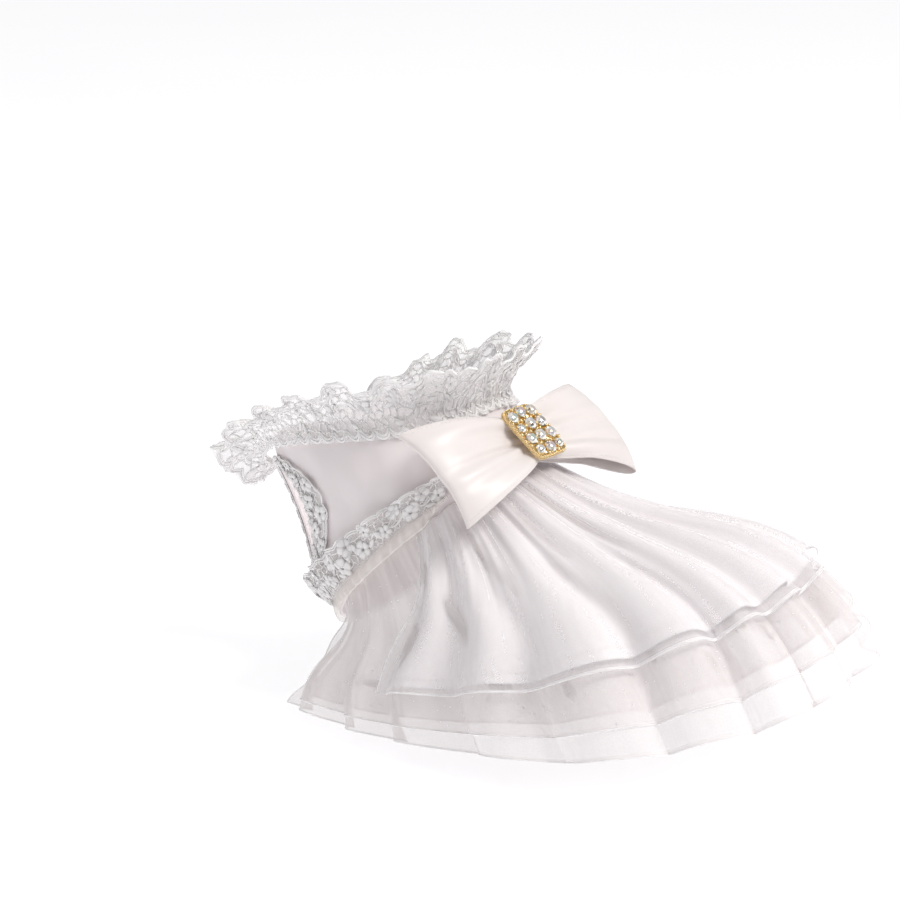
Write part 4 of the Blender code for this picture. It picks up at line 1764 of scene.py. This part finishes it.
@dataclass
class Skirts(Piece):
    """The nested gathered skirts, whose folds lie in each other."""

    waist_cut: float = 0.26
    hem_cut: float = 0.66
    slant_cut: float = 0.155
    widest: float = 118
    columns: int = 430
    weave: tuple[float, float] = (0.85, 0.17)
    spread: float = 0.116
    train: float = 0.182
    drop: float = 0.119
    start_out: float = 0.36
    start_along: float = 0.93
    start_handle: float = 0.28
    start_handle_train: float = 0.24
    hem_handle: float = 0.33
    hem_lift: float = 0.02
    hem_lift_train: float = 0.26
    layer_spread: float = 0.0036
    fold_depth: float = 0.0062
    fold_gather: float = 0.11
    fold_growth: float = 1.15
    folds: int = 15
    fold_drift: float = 0.22
    fold_drifts: float = 2.6
    full_angle: float = math.radians(236)
    pulled_run: float = 0.79
    hem: Table = Table(
        [
            (-118, -0.69, -0.49, 0.99),
            (-90, -0.93, -0.08, 0.97),
            (-62, -1.00, 0.36, 0.86),
            (-38, -0.85, 0.70, 0.67),
            (-15, -0.35, 0.96, 0.65),
            (8, 0.24, 0.99, 0.69),
            (28, 0.62, 0.87, 0.75),
            (52, 0.90, 0.60, 0.84),
            (72, 0.92, 0.27, 0.91),
            (92, 0.85, -0.12, 0.97),
            (118, 0.66, -0.50, 1.00),
        ]
    )
    layers: tuple[SkirtLayer, ...] = (
        SkirtLayer("petticoat_tulle", "petticoat", 116, 0, 0, 0.90, TULLE, "tulle", 0.0003, 0.0004, 0.5),
        SkirtLayer("underskirt_organza", "underskirt", 118, 1, 0, 1, ORGANZA, "organza", 0.0003, 0.0006, 0.9),
        SkirtLayer("organza_flounce", "", 112, 1, 0.0012, 0.94, ORGANZA, "organza", 0.0003, 0.0003, 0.7),
        SkirtLayer("overskirt_satin", "overskirt", 88, 2, 0, 0.77, SKIRT_SATIN, "satin", 0.0004, 0, 0, 0.30),
        SkirtLayer("organza_overlay", "", 90, 2, 0.0016, 0.805, OVERLAY, "organza", 0.00035, 0.0002, 0, 0.30),
    )

    def guide(self, angle: Array, run: Array) -> Array:
        """The smooth skirt: run 0 is the waist seam and 1 the long hem.

        Args:
            angle: Angle round the body.
            run: Share from waist to hem.

        Returns:
            Points.
        """
        angle, run = np.broadcast_arrays(angle, run)
        seam = 1 + (self.fold_depth * self.fold_gather + self.form.fit_gap) / self.form.side_length(angle)
        waist = self.form.point(seam, angle, self.form.layer_step)
        side, reach, drop = self.hem.at(np.degrees(angle))
        fall = vectors(side * self.spread, reach * self.train, -drop * self.drop)
        hem = self.form.point(1.0, 0.0, 0.0) + fall
        outward = self.form.point(seam, angle, 2 * self.form.layer_step) - waist
        outward = outward / np.linalg.norm(outward, axis=-1, keepdims=True)
        length = np.linalg.norm(hem - waist, axis=-1)[..., None]
        back = (np.cos(angle / 2) ** 2)[..., None]
        leave = outward * self.start_out + self.form.along(self.form.waist_tilt) * self.start_along
        first = waist + leave * length * (self.start_handle + self.start_handle_train * back)
        lift = length * (self.hem_lift + self.hem_lift_train * back)
        second = hem + (waist - hem) * self.hem_handle + lift * np.array([0.0, 0.0, 1.0])
        run = run[..., None]
        rest = 1 - run
        return waist * rest**3 + first * 3 * rest**2 * run + second * 3 * rest * run**2 + hem * run**3

    def phase(self, angle: Array, run: Array) -> Array:
        """Phase of the folds."""
        place = angle / self.full_angle
        drift = self.fold_drift * np.sin(TURN * self.fold_drifts * place)
        return TURN * (self.folds * place + drift) + 0.5 * np.sin(3 * math.pi * run + 9 * place)

    def lean(self, angle: Array, run: Array, flap: float) -> Array:
        """Angle by which the folds lean over, with the loose flaps of the long layers near the hem.

        Args:
            angle: Angle round the body.
            run: Share from waist to hem.
            flap: Lean of the loose flaps.

        Returns:
            Angles to add.
        """
        rate = TURN * self.folds / self.full_angle
        some = 0.55 + 0.45 * soft_noise(angle * 2.1, 12, 2)
        lean = 0.85 / rate * some * np.sin(self.phase(angle, run) + 0.5) * np.clip(run, 0, 1) ** 0.8
        loose = np.clip((run - 0.62) / 0.38, 0, 1) ** 1.2 * (0.6 + 0.6 * soft_noise(angle * 2.7, 15, 2))
        return lean + flap / rate * loose * np.sin(self.phase(angle, run) + 0.9)

    def fold_height(self, angle: Array, run: Array) -> Array:
        """Height of folds and gathers off the smooth skirt.

        Args:
            angle: Angle round the body.
            run: Share from waist to hem.

        Returns:
            Heights.
        """
        place = angle / self.full_angle
        phase = self.phase(angle, run)
        growth = (1 - self.fold_gather) * np.abs(run) ** self.fold_growth
        depth = self.fold_depth * (self.fold_gather + growth)
        full = 1 + 0.30 * soft_noise(place * 3.0, 3)
        fold = (np.cos(phase) + 0.22 * np.cos(2 * phase + 0.8 + 2 * soft_noise(place * 2, 8))) / 1.12
        near = np.clip(run / 0.10, 0, 60)
        window = near * np.exp(1 - near)
        gather = 0.0003 * np.cos(TURN * 52 * place + 4 * np.sin(23 * place)) * window
        gather = gather + 0.0009 * np.cos(TURN * 27 * place + 5 * np.sin(11 * place)) * np.abs(window) ** 0.5
        return depth * fold * full + gather

    def surface(self, row: SkirtLayer) -> ClothSurface:
        """The surface of one layer.

        Args:
            row: The layer.

        Returns:
            Its surface.
        """
        smooth = ClothSurface(self.guide)

        def cloth(angle: Array, share: Array) -> Array:
            """The layer over the shared folds."""
            angle, share = np.broadcast_arrays(np.asarray(angle, float), share)
            run = share * row.length
            nest = (row.layer - 1) * (self.form.layer_step + self.layer_spread * run)
            nest = nest + row.extra * (0.4 + 0.6 * run)
            seed = int(row.layer * 10) + 3
            flutter = row.flutter * soft_noise(angle / self.full_angle * 14, seed) * share**3
            drawn = angle * (1 - row.pull * np.clip(1 - run / self.pulled_run, 0, 1) ** 1.6)
            drawn = drawn + self.lean(angle, run, row.flap)
            return smooth.lifted(drawn, run, nest + self.fold_height(angle, run) + flutter)

        return ClothSurface(cloth)

    def build(self) -> None:
        """Build every layer with its rolled hem, and the glitter and sprays of the petticoat."""
        for row in self.layers:
            half, wide = math.radians(row.half_angle), row.half_angle / self.widest
            surface = self.surface(row)
            columns = int(self.columns * row.half_angle / self.widest)
            angles = np.linspace(-half, half, columns + 1)
            shares = np.linspace(0, 1, 97)
            weave = (self.weave[0] * row.half_angle / self.widest, self.weave[1] * row.length)
            made = cloth_sheet(row.name, surface, angles, shares, weave, row.finish)
            fine = np.linspace(-half, half, columns * 2)
            down = np.linspace(0.02, 1, 160)
            one = np.ones_like(fine)
            edges = [
                surface.place(fine, one),
                surface.place(np.full_like(down, half), down),
                surface.place(np.full_like(down, -half), down),
            ]
            hem = cords(row.name + "_hem", edges, row.hem_cord, ROLLED_HEM, 6)
            self.node_slot = row.slot
            self.declare(made, row.node)
            self.declare(hem)
            if row.name == "overskirt_satin":
                line = surface.lifted(fine, one * 0.955, 0.0002)
                thread = stitches("overskirt_stitches", [line], 0.0028, 0.0018, 0.00014, GIMP)
                self.declare(thread)
            if row.name in ("petticoat_tulle", "organza_flounce"):
                self.declare(self.glitter(row, surface, angles))
            if row.name == "petticoat_tulle":
                self.declare(self.sprays(surface, half))
            LOG.info("%s: %d faces", row.name, len(made.data.polygons))

    def glitter(self, row: SkirtLayer, surface: ClothSurface, angles: Array) -> Object:
        """Small flakes scattered over a layer.

        Args:
            row: The layer.
            surface: Its surface.
            angles: Its angles.

        Returns:
            The flakes.
        """
        shares = np.linspace(0.1, 0.99, 25)
        under = cloth_sheet(row.name + "_glitter", surface, angles[::4], shares, (1, 1), FLAKES)
        return run_tree(
            under, flake_tree, Density=14000.0, Radius=0.0004, Sides=6, Seed=7, Material=FLAKES.material()
        )

    def sprays(self, surface: ClothSurface, half: float) -> Object:
        """Embroidered sprays above the petticoat's hem.

        Args:
            surface: The petticoat's surface.
            half: Half its angle.

        Returns:
            The sprays.
        """
        width, length = 0.15, 2 * half
        draft = LaceDraft(length, width, 71)
        rng = np.random.default_rng(17)
        for k in range(26):
            s, t = (k + rng.uniform(0.2, 0.8)) / 26 * 0.80, rng.uniform(0.118, 0.144)
            draft.add_flower(s, t, rng.uniform(0.0030, 0.0048), 5, k)
            for leaf in range(3):
                draft.add_leaf(s + rng.normal(0, 0.004), t + rng.normal(0, 0.004), 0.0048, k + 2.0 * leaf)
            arc = np.linspace(0, 1, 14)
            draft.gimp.append(vectors(s + 0.012 * arc, t - 0.006 * np.sin(math.pi * arc), 0.0002))

        def to_surface(s: Array, t: Array) -> tuple[Array, Array]:
            """Turn a place on the strip into the surface's parameters."""
            return s / 0.80 * length - half, np.clip(t / width, 0, 0.985)

        return draft.laid("petticoat_sprays", surface, to_surface, 0.0002, 0.0003)


class LoopShape(NamedTuple):
    """One loop of the bow: node, side, fall and slide as shares of its reach, and place of its crease."""

    node: str
    side: Side
    droop: float
    slide: float
    crease: float


@dataclass
class Bow(Piece):
    """The two folded satin loops, gathered under the brooch."""

    tilt: float = math.radians(48)
    ahead: float = 0.010
    clearance: float = 0.0052
    reach: float = 0.064
    knot_width: float = 0.022
    turn_width: float = 0.056
    weave: tuple[float, float] = (0.14, 0.045)
    cut: tuple[float, float] = (0.15, 0.062)
    cut_area: float = 0.0062
    height: float = 0.014
    gather: float = 0.0009
    ride: float = 0.0085
    edge_fall: float = 0.30
    turn_curl: float = 0.10
    loops: tuple[LoopShape, ...] = (
        LoopShape("bow_loop_left", Side.LEFT, 0.20, 0.0, 0.06),
        LoopShape("bow_loop_right", Side.RIGHT, 0.05, 0.13, -0.10),
    )

    def centre(self) -> tuple[Array, Array, Array]:
        """The bow's centre with its directions along and out."""
        at = self.form.point(1 - self.ahead / self.form.back_length, 0.0, self.form.wall)
        return at, self.form.along(self.tilt), self.form.out(self.tilt)

    def surface(self, row: LoopShape) -> ClothSurface:
        """The band of one loop: turn runs from the knot over the loop and back, across over its width.

        Args:
            row: The loop.

        Returns:
            Its surface.
        """
        at, along, out = self.centre()
        parting = self.form.wall + self.form.fit_gap

        def band(turn: Array, across: Array) -> Array:
            """The band over its turn and its width."""
            turn, across = np.broadcast_arrays(np.asarray(turn, float), across)
            reach = np.sin(math.pi * np.clip(turn, 0, 1)) ** 0.8
            half = (self.knot_width + (self.turn_width - self.knot_width) * reach**0.8) / 2
            crown = self.height * reach * (1 - self.edge_fall * across**2)
            upper = (1 + np.cos(math.pi * turn)) / 2
            pleats = np.cos(3 * math.pi * across) * (1 - reach)
            pleats = pleats + 0.45 * np.cos(6.4 * math.pi * across + 0.7) * (1 - reach) ** 0.6 * reach**0.3
            height = self.clearance + self.gather * pleats + parting * (2 * upper - 1) + crown * upper
            ride = self.ride * np.maximum(across, 0) * np.minimum(1, 0.12 + 2.1 * reach)
            height = height + ride * (1 - 0.5 * reach)
            curl = self.turn_curl * self.turn_width * across**2
            height = height - (row.droop * self.reach + curl) * reach**2
            soft = np.clip(reach * 4.5, 0, 1) * (1 - reach) ** 0.55
            fold = 0.0018 * np.cos(2.3 * math.pi * (across - 0.12 * row.side.value)) * soft
            crease = np.exp(-(((across - row.crease) / 0.19) ** 2))
            crease = crease + 0.2 * np.exp(-(((across + 0.55) / 0.16) ** 2))
            fold = fold - 0.0066 * crease * soft
            fold = fold + 0.0004 * np.cos(4.9 * math.pi * across + 2.5 * reach) * soft
            height = height + fold * (0.35 + 0.65 * upper)
            slide = half * across + row.slide * self.reach * reach
            x = row.side.value * (self.form.wall + self.reach * reach)
            return at + vectors(x, 0, 0) + along * slide[..., None] + out * height[..., None]

        return ClothSurface(band, flip=row.side is Side.RIGHT)

    def build(self) -> None:
        """Build both loops with their turned edges."""
        for row in self.loops:
            surface = self.surface(row)
            turns, across = np.linspace(0, 1, 141), np.linspace(-1, 1, 97)
            name = row.node.replace("loop", "satin")
            wall = self.form.wall * 0.8
            made = cloth_sheet(name, surface, turns, across, self.weave, BOW_SATIN, wall=wall)
            settled(made)
            fine = np.linspace(0, 1, 260)
            lift = self.form.wall * 0.4
            edges = [surface.lifted(fine, np.full_like(fine, side), lift) for side in (-1, 1)]
            roll = cords(name + "_edge", edges, 0.00055, BOW_SATIN, 6)
            lift = self.form.wall * 0.85
            seams = [surface.lifted(fine, np.full_like(fine, side), lift) for side in (-0.93, 0.93)]
            thread = stitches(name + "_stitches", seams, 0.0026, 0.0016, 0.00012, GIMP)
            self.declare(made, row.node)
            self.declare(roll)
            self.declare(thread)
            LOG.info("%s: %d faces", name, len(made.data.polygons))


class Stone(NamedTuple):
    """A stone: column across, row along and size, as shares of the grid step and the stone's diameter."""

    across: float
    along: float
    size: float


@dataclass
class Brooch(Piece):
    """The gold-plated brooch: plate, beaded wall, claw cups, beads and cut stones."""

    pitch: float = math.radians(9)
    plate: float = 0.0022
    rim: float = 0.0004
    sink: float = 0.16
    ride_share: float = 0.20
    stone_diameter: float = 0.0056
    stone_height: float = 0.0026
    stone_gap: float = 0.00012
    space_across: float = 0.0018
    space_along: float = 0.0006
    cup_wall: float = 0.0004
    row_span: float = 3.24
    corner_share: float = 0.6
    corner_points: int = 9
    seat_share: float = 0.8
    girdle_share: float = 0.36
    stone_swell: float = 1.15
    stones: tuple[Stone, ...] = (
        Stone(-1.00, -1.50, 1.00),
        Stone(0.00, -1.62, 1.00),
        Stone(1.00, -1.40, 1.00),
        Stone(-1.00, -0.46, 1.00),
        Stone(0.00, -0.56, 1.06),
        Stone(1.02, -0.42, 0.78),
        Stone(-1.02, 0.56, 1.00),
        Stone(0.00, 0.52, 1.04),
        Stone(0.98, 0.54, 1.00),
        Stone(-0.94, 1.52, 0.80),
        Stone(0.02, 1.60, 1.00),
        Stone(0.96, 1.50, 0.84),
    )

    def grid(self) -> tuple[float, float, float]:
        """Outer width of a cup, and the steps from cup to cup across and along."""
        cup = self.stone_diameter + 2 * (self.stone_gap + self.cup_wall)
        return cup, cup + self.space_across, cup + self.space_along

    def axes(self, bow: Bow) -> tuple[Array, Array, Array, Array]:
        """The brooch's place, and its directions across, along and out.

        Args:
            bow: The bow.

        Returns:
            A point and three directions.
        """
        at, _, out = bow.centre()
        seat = bow.clearance + 3 * self.form.wall + bow.height * self.sink + bow.ride * self.ride_share
        tilt = bow.tilt - self.pitch
        return at + out * seat, np.array([1.0, 0, 0]), self.form.along(tilt), self.form.out(tilt)

    def lathe(
        self, x: float, y: float, profile: Sequence[tuple[float, float]], sides: int
    ) -> tuple[Array, list]:
        """A turned form about a stone's centre, closed at both ends.

        Args:
            x: Centre across.
            y: Centre along.
            profile: Radius and height from the inside bottom outwards.
            sides: Sides of the round.

        Returns:
            Points and faces.
        """
        turns = np.linspace(0, TURN, sides + 1)[:-1]
        points = [
            (x + radius * math.cos(turn), y + radius * math.sin(turn), height)
            for radius, height in profile
            for turn in turns
        ]
        return np.array(points), ring_faces(len(profile), sides, closed=True)

    def outline(self, inset: float) -> Array:
        """The plate's rounded outline, drawn in by a distance.

        Args:
            inset: Distance to draw in.

        Returns:
            Points across and along.
        """
        cup, step_x, step_y = self.grid()
        half_x = step_x + cup / 2 + self.rim - inset
        half_y = self.row_span * step_y / 2 + cup / 2 + self.rim - inset
        corner = self.corner_share * cup - inset
        points = []
        for quarter, (sign_x, sign_y) in enumerate(((1, 1), (-1, 1), (-1, -1), (1, -1))):
            for turn in np.linspace(quarter * math.pi / 2, (quarter + 1) * math.pi / 2, self.corner_points):
                points.append(
                    (
                        sign_x * (half_x - corner) + corner * math.cos(turn),
                        sign_y * (half_y - corner) + corner * math.sin(turn),
                    )
                )
        return np.array(points)

    def build(self, bow: Bow) -> None:
        """Build the gold setting and the stones.

        Args:
            bow: The bow under it.
        """
        self.node_slot = "gilt"
        at, right, along, out = self.axes(bow)

        def placed(points: Array) -> Array:
            """Place the brooch's own points on the dress."""
            points = np.asarray(points, float)
            return at + points[:, :1] * right + points[:, 1:2] * along + points[:, 2:] * out

        _, step_x, step_y = self.grid()
        steps = [(0.0006, 0.0), (0.0, 0.0005), (0.0, self.plate - 0.0006), (0.0005, self.plate - 0.0001)]
        rings = [np.insert(self.outline(inset), 2, height, axis=1) for inset, height in steps]
        sides, top = len(rings[0]), len(rings) - 1
        faces = [tuple(range(sides)), tuple(range((top + 1) * sides - 1, top * sides - 1, -1))]
        faces += ring_faces(len(rings), sides)
        parts = [plain_mesh("plate", placed(np.concatenate(rings)), faces, GOLD)]
        beads: list[tuple[float, float, float]] = []
        for level, inset in ((0.00045, -0.00005), (self.plate * 0.85, 0.0)):
            loop = self.outline(inset)
            closed = np.vstack([loop, loop[:1]])
            lengths = np.concatenate([[0], np.cumsum(np.linalg.norm(np.diff(closed, axis=0), axis=1))])
            count = int(lengths[-1] / 0.0010)
            for s in np.linspace(0, lengths[-1], count, endpoint=False):
                x, y = (np.interp(s, lengths, closed[:, axis]) for axis in (0, 1))
                beads.append((x, y, level))
        edge_beads = self.beads("edge_beads", placed(np.array(beads)), 0.00050)
        stones_done, claws = [], []
        for index, stone in enumerate(self.stones, start=1):
            radius = stone.size * self.stone_diameter / 2 * self.stone_swell
            x, y = stone.across * step_x, stone.along * step_y
            inner = radius + self.stone_gap
            low = self.seat_share * self.plate
            high = low + self.stone_gap + self.girdle_share * self.stone_height * stone.size
            profile = [
                (inner * 0.6, low - 0.0002),
                (inner + self.cup_wall * 0.7, low - 0.0002),
                (inner + self.cup_wall, high - 0.0004),
                (inner + self.cup_wall * 0.7, high),
                (inner, high - 0.0001),
                (inner, low),
                (inner * 0.6, low),
            ]
            points, cup_faces = self.lathe(x, y, profile, 28)
            parts.append(plain_mesh(f"cup_{index:02d}", placed(points), cup_faces, GOLD))
            for claw in range(4):
                turn = math.pi / 4 + claw * math.pi / 2 + 0.3 * index
                edge = inner + self.cup_wall * 0.2
                claws.append((x + edge * math.cos(turn), y + edge * math.sin(turn), high + 0.00030))
            stones_done.append(self.stone(index, x, y, radius, placed))
        fill = []
        for column in (-0.5, 0.5):
            for row in (-1.95, -1.0, -0.5, 0.0, 0.55, 1.1, 1.98):
                fill.append((column * step_x, row * step_y, self.plate + 0.0004))
        for row in (-0.95, 0.05, 1.05):
            for column in (-1.42, 1.42):
                fill.append((column * step_x, row * step_y, self.plate + 0.0003))
        parts += [edge_beads, self.beads("claws", placed(np.array(claws)), 0.00050)]
        parts.append(self.beads("fill_beads", placed(np.array(fill)), 0.00095))
        gold = faced_outwards(joined("brooch_gold", parts))
        self.declare(gold, "brooch_setting")
        self.node_slot = "crystal"
        for made in stones_done:
            self.declare(made, made.name.replace("cut_", ""))
        LOG.info("brooch: %d faces and %d stones", len(gold.data.polygons), len(stones_done))

    def beads(self, name: str, points: Array, radius: float) -> Object:
        """Round beads at points."""
        mesh = bpy.data.meshes.new(name)
        mesh.from_pydata([tuple(p) for p in points], [], [])
        return run_tree(link(name, mesh), bead_tree, Radius=radius, Rings=2, Material=GOLD.material())

    def stone(
        self, index: int, x: float, y: float, radius: float, placed: Callable[[Array], Array]
    ) -> Object:
        """A round stone with a table, a star row, a kite row and a girdle.

        Args:
            index: Its number.
            x: Centre across.
            y: Centre along.
            radius: Its radius.
            placed: Turns brooch lengths into points of the dress.

        Returns:
            The stone.
        """
        base = self.seat_share * self.plate + self.stone_gap
        height = self.stone_height * radius * 2 / self.stone_diameter
        levels = [
            (8, 0.50, 1.00, 0.0),
            (8, 0.74, 0.86, 0.5),
            (16, 0.97, 0.48, 0.0),
            (16, 1.00, 0.36, 0.0),
            (16, 0.95, 0.00, 0.0),
        ]
        points, starts = [], []
        for count, share, level, twist in levels:
            starts.append(len(points))
            for k in range(count):
                turn = (k + twist) * TURN / count
                ahead, aside = radius * share * math.cos(turn), radius * share * math.sin(turn)
                points.append((x + ahead, y + aside, base + height * level))
        faces: list[tuple[int, ...]] = [tuple(range(8))]
        for k in range(8):
            table, table_next = k, (k + 1) % 8
            star, star_before = starts[1] + k, starts[1] + (k - 1) % 8
            girdle = starts[2]
            faces.append((table, star, table_next))
            faces.append((table, star_before, girdle + 2 * k, star))
            faces.append((star, girdle + 2 * k, girdle + 2 * k + 1))
            faces.append((star, girdle + 2 * k + 1, girdle + (2 * k + 2) % 16))
        faces += [tuple(starts[2] + corner for corner in face) for face in ring_faces(3, 16)]
        faces.append(tuple(starts[4] + k for k in range(15, -1, -1)))
        made = plain_mesh(f"cut_stone_{index:02d}", placed(np.array(points)), faces, GLASS)
        faced_outwards(made)
        rng = np.random.default_rng(100 + index)
        # Each facet gets a painted glint colour, picked at random from the painted glints.
        fire, tones = made.data.attributes.new("fire", "FLOAT_COLOR", "CORNER"), GLASS.fires.split()
        glint_colours = []
        for face in made.data.polygons:
            tone = linear(tones[int(rng.integers(len(tones)))])
            glint_colours += list(tone) * len(face.vertices)
        fire.data.foreach_set("color", np.array(glint_colours, np.float32))
        return made


class Lamp(NamedTuple):
    """A soft square lamp: its place in degrees and distance, its width, its power in watts and its tone."""

    name: str
    azimuth: float
    elevation: float
    distance: float
    size: float
    power: float
    tone: str


@dataclass
class Studio:
    """Pale sweep, soft lights and the camera of the photograph."""

    floor: float = -0.1378
    target: tuple[float, float, float] = (0.008, -0.030, -0.012)
    azimuth: float = math.radians(125)
    elevation: float = math.radians(15)
    distance: float = 1.5
    lens: float = 120.0
    half_floor: float = 14.0
    sky: float = 0.25
    lamps: tuple[Lamp, ...] = (
        Lamp("key", 192, 50, 2.2, 0.8, 25.0, "FFFDFB"),
        Lamp("fill", 95, 35, 2.4, 1.6, 1.5, "FFF6EF"),
        Lamp("tent", 200, 84, 5.0, 10.0, 175.0, "FFFFFF"),
    )

    def ray(self, azimuth: float, elevation: float) -> Vector:
        """Direction from the target to a place at an azimuth and elevation."""
        flat = math.cos(elevation)
        return Vector((math.sin(azimuth) * flat, -math.cos(azimuth) * flat, math.sin(elevation)))

    def build(self) -> None:
        """Lay the floor and set the lights and the camera."""
        signs = ((-1, -1), (1, -1), (1, 1), (-1, 1))
        corners = [(x * self.half_floor, y * self.half_floor, self.floor) for x, y in signs]
        floor = plain_mesh("studio_floor", np.array(corners), [(0, 1, 2, 3)], PAPER)
        world = bpy.data.worlds.new("soft_white")
        world.use_nodes = True
        sky = world.node_tree.nodes["Background"]
        sky.inputs["Color"].default_value = linear("FFFFFF")
        sky.inputs["Strength"].default_value = self.sky
        bpy.context.scene.world = world
        for row in self.lamps:
            self.light(row)
        eye = bpy.data.cameras.new("camera")
        eye.lens, eye.sensor_width, eye.clip_start, eye.clip_end = self.lens, 36.0, 0.05, 60.0
        seen = bpy.data.objects.new("camera", eye)
        bpy.context.scene.collection.objects.link(seen)
        ray = self.ray(self.azimuth, self.elevation)
        seen.location = Vector(self.target) + ray * self.distance
        seen.rotation_euler = ray.to_track_quat("Z", "Y").to_euler()
        bpy.context.scene.camera = seen
        bpy.context.scene.view_settings.view_transform = "Standard"

    def light(self, row: Lamp) -> None:
        """Hang one lamp, which looks at the dress.

        Args:
            row: The lamp.
        """
        lamp = bpy.data.lights.new(row.name, "AREA")
        lamp.shape, lamp.size, lamp.energy = "SQUARE", row.size, row.power
        lamp.color = linear(row.tone)[:3]
        made = bpy.data.objects.new(row.name, lamp)
        bpy.context.scene.collection.objects.link(made)
        ray = self.ray(math.radians(row.azimuth), math.radians(row.elevation))
        made.location = Vector(self.target) + ray * row.distance
        made.rotation_euler = ray.to_track_quat("Z", "Y").to_euler()


def main() -> None:
    """Build every sub-assembly on the frame."""
    logging.basicConfig(level=logging.INFO, format="%(name)s: %(message)s")
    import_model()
    Studio().build()
    form = BodyForm()
    holes = Armholes(form)
    Bodice(form).build(holes)
    BellyClosure(form).build()
    Collar(form).build()
    for side in Side:
        ArmholeLace(form, side=side).build(holes)
    WaistLace(form).build()
    Skirts(form).build()
    bow = Bow(form)
    bow.build()
    Brooch(form).build(bow)


if __name__ == "__main__":
    main()
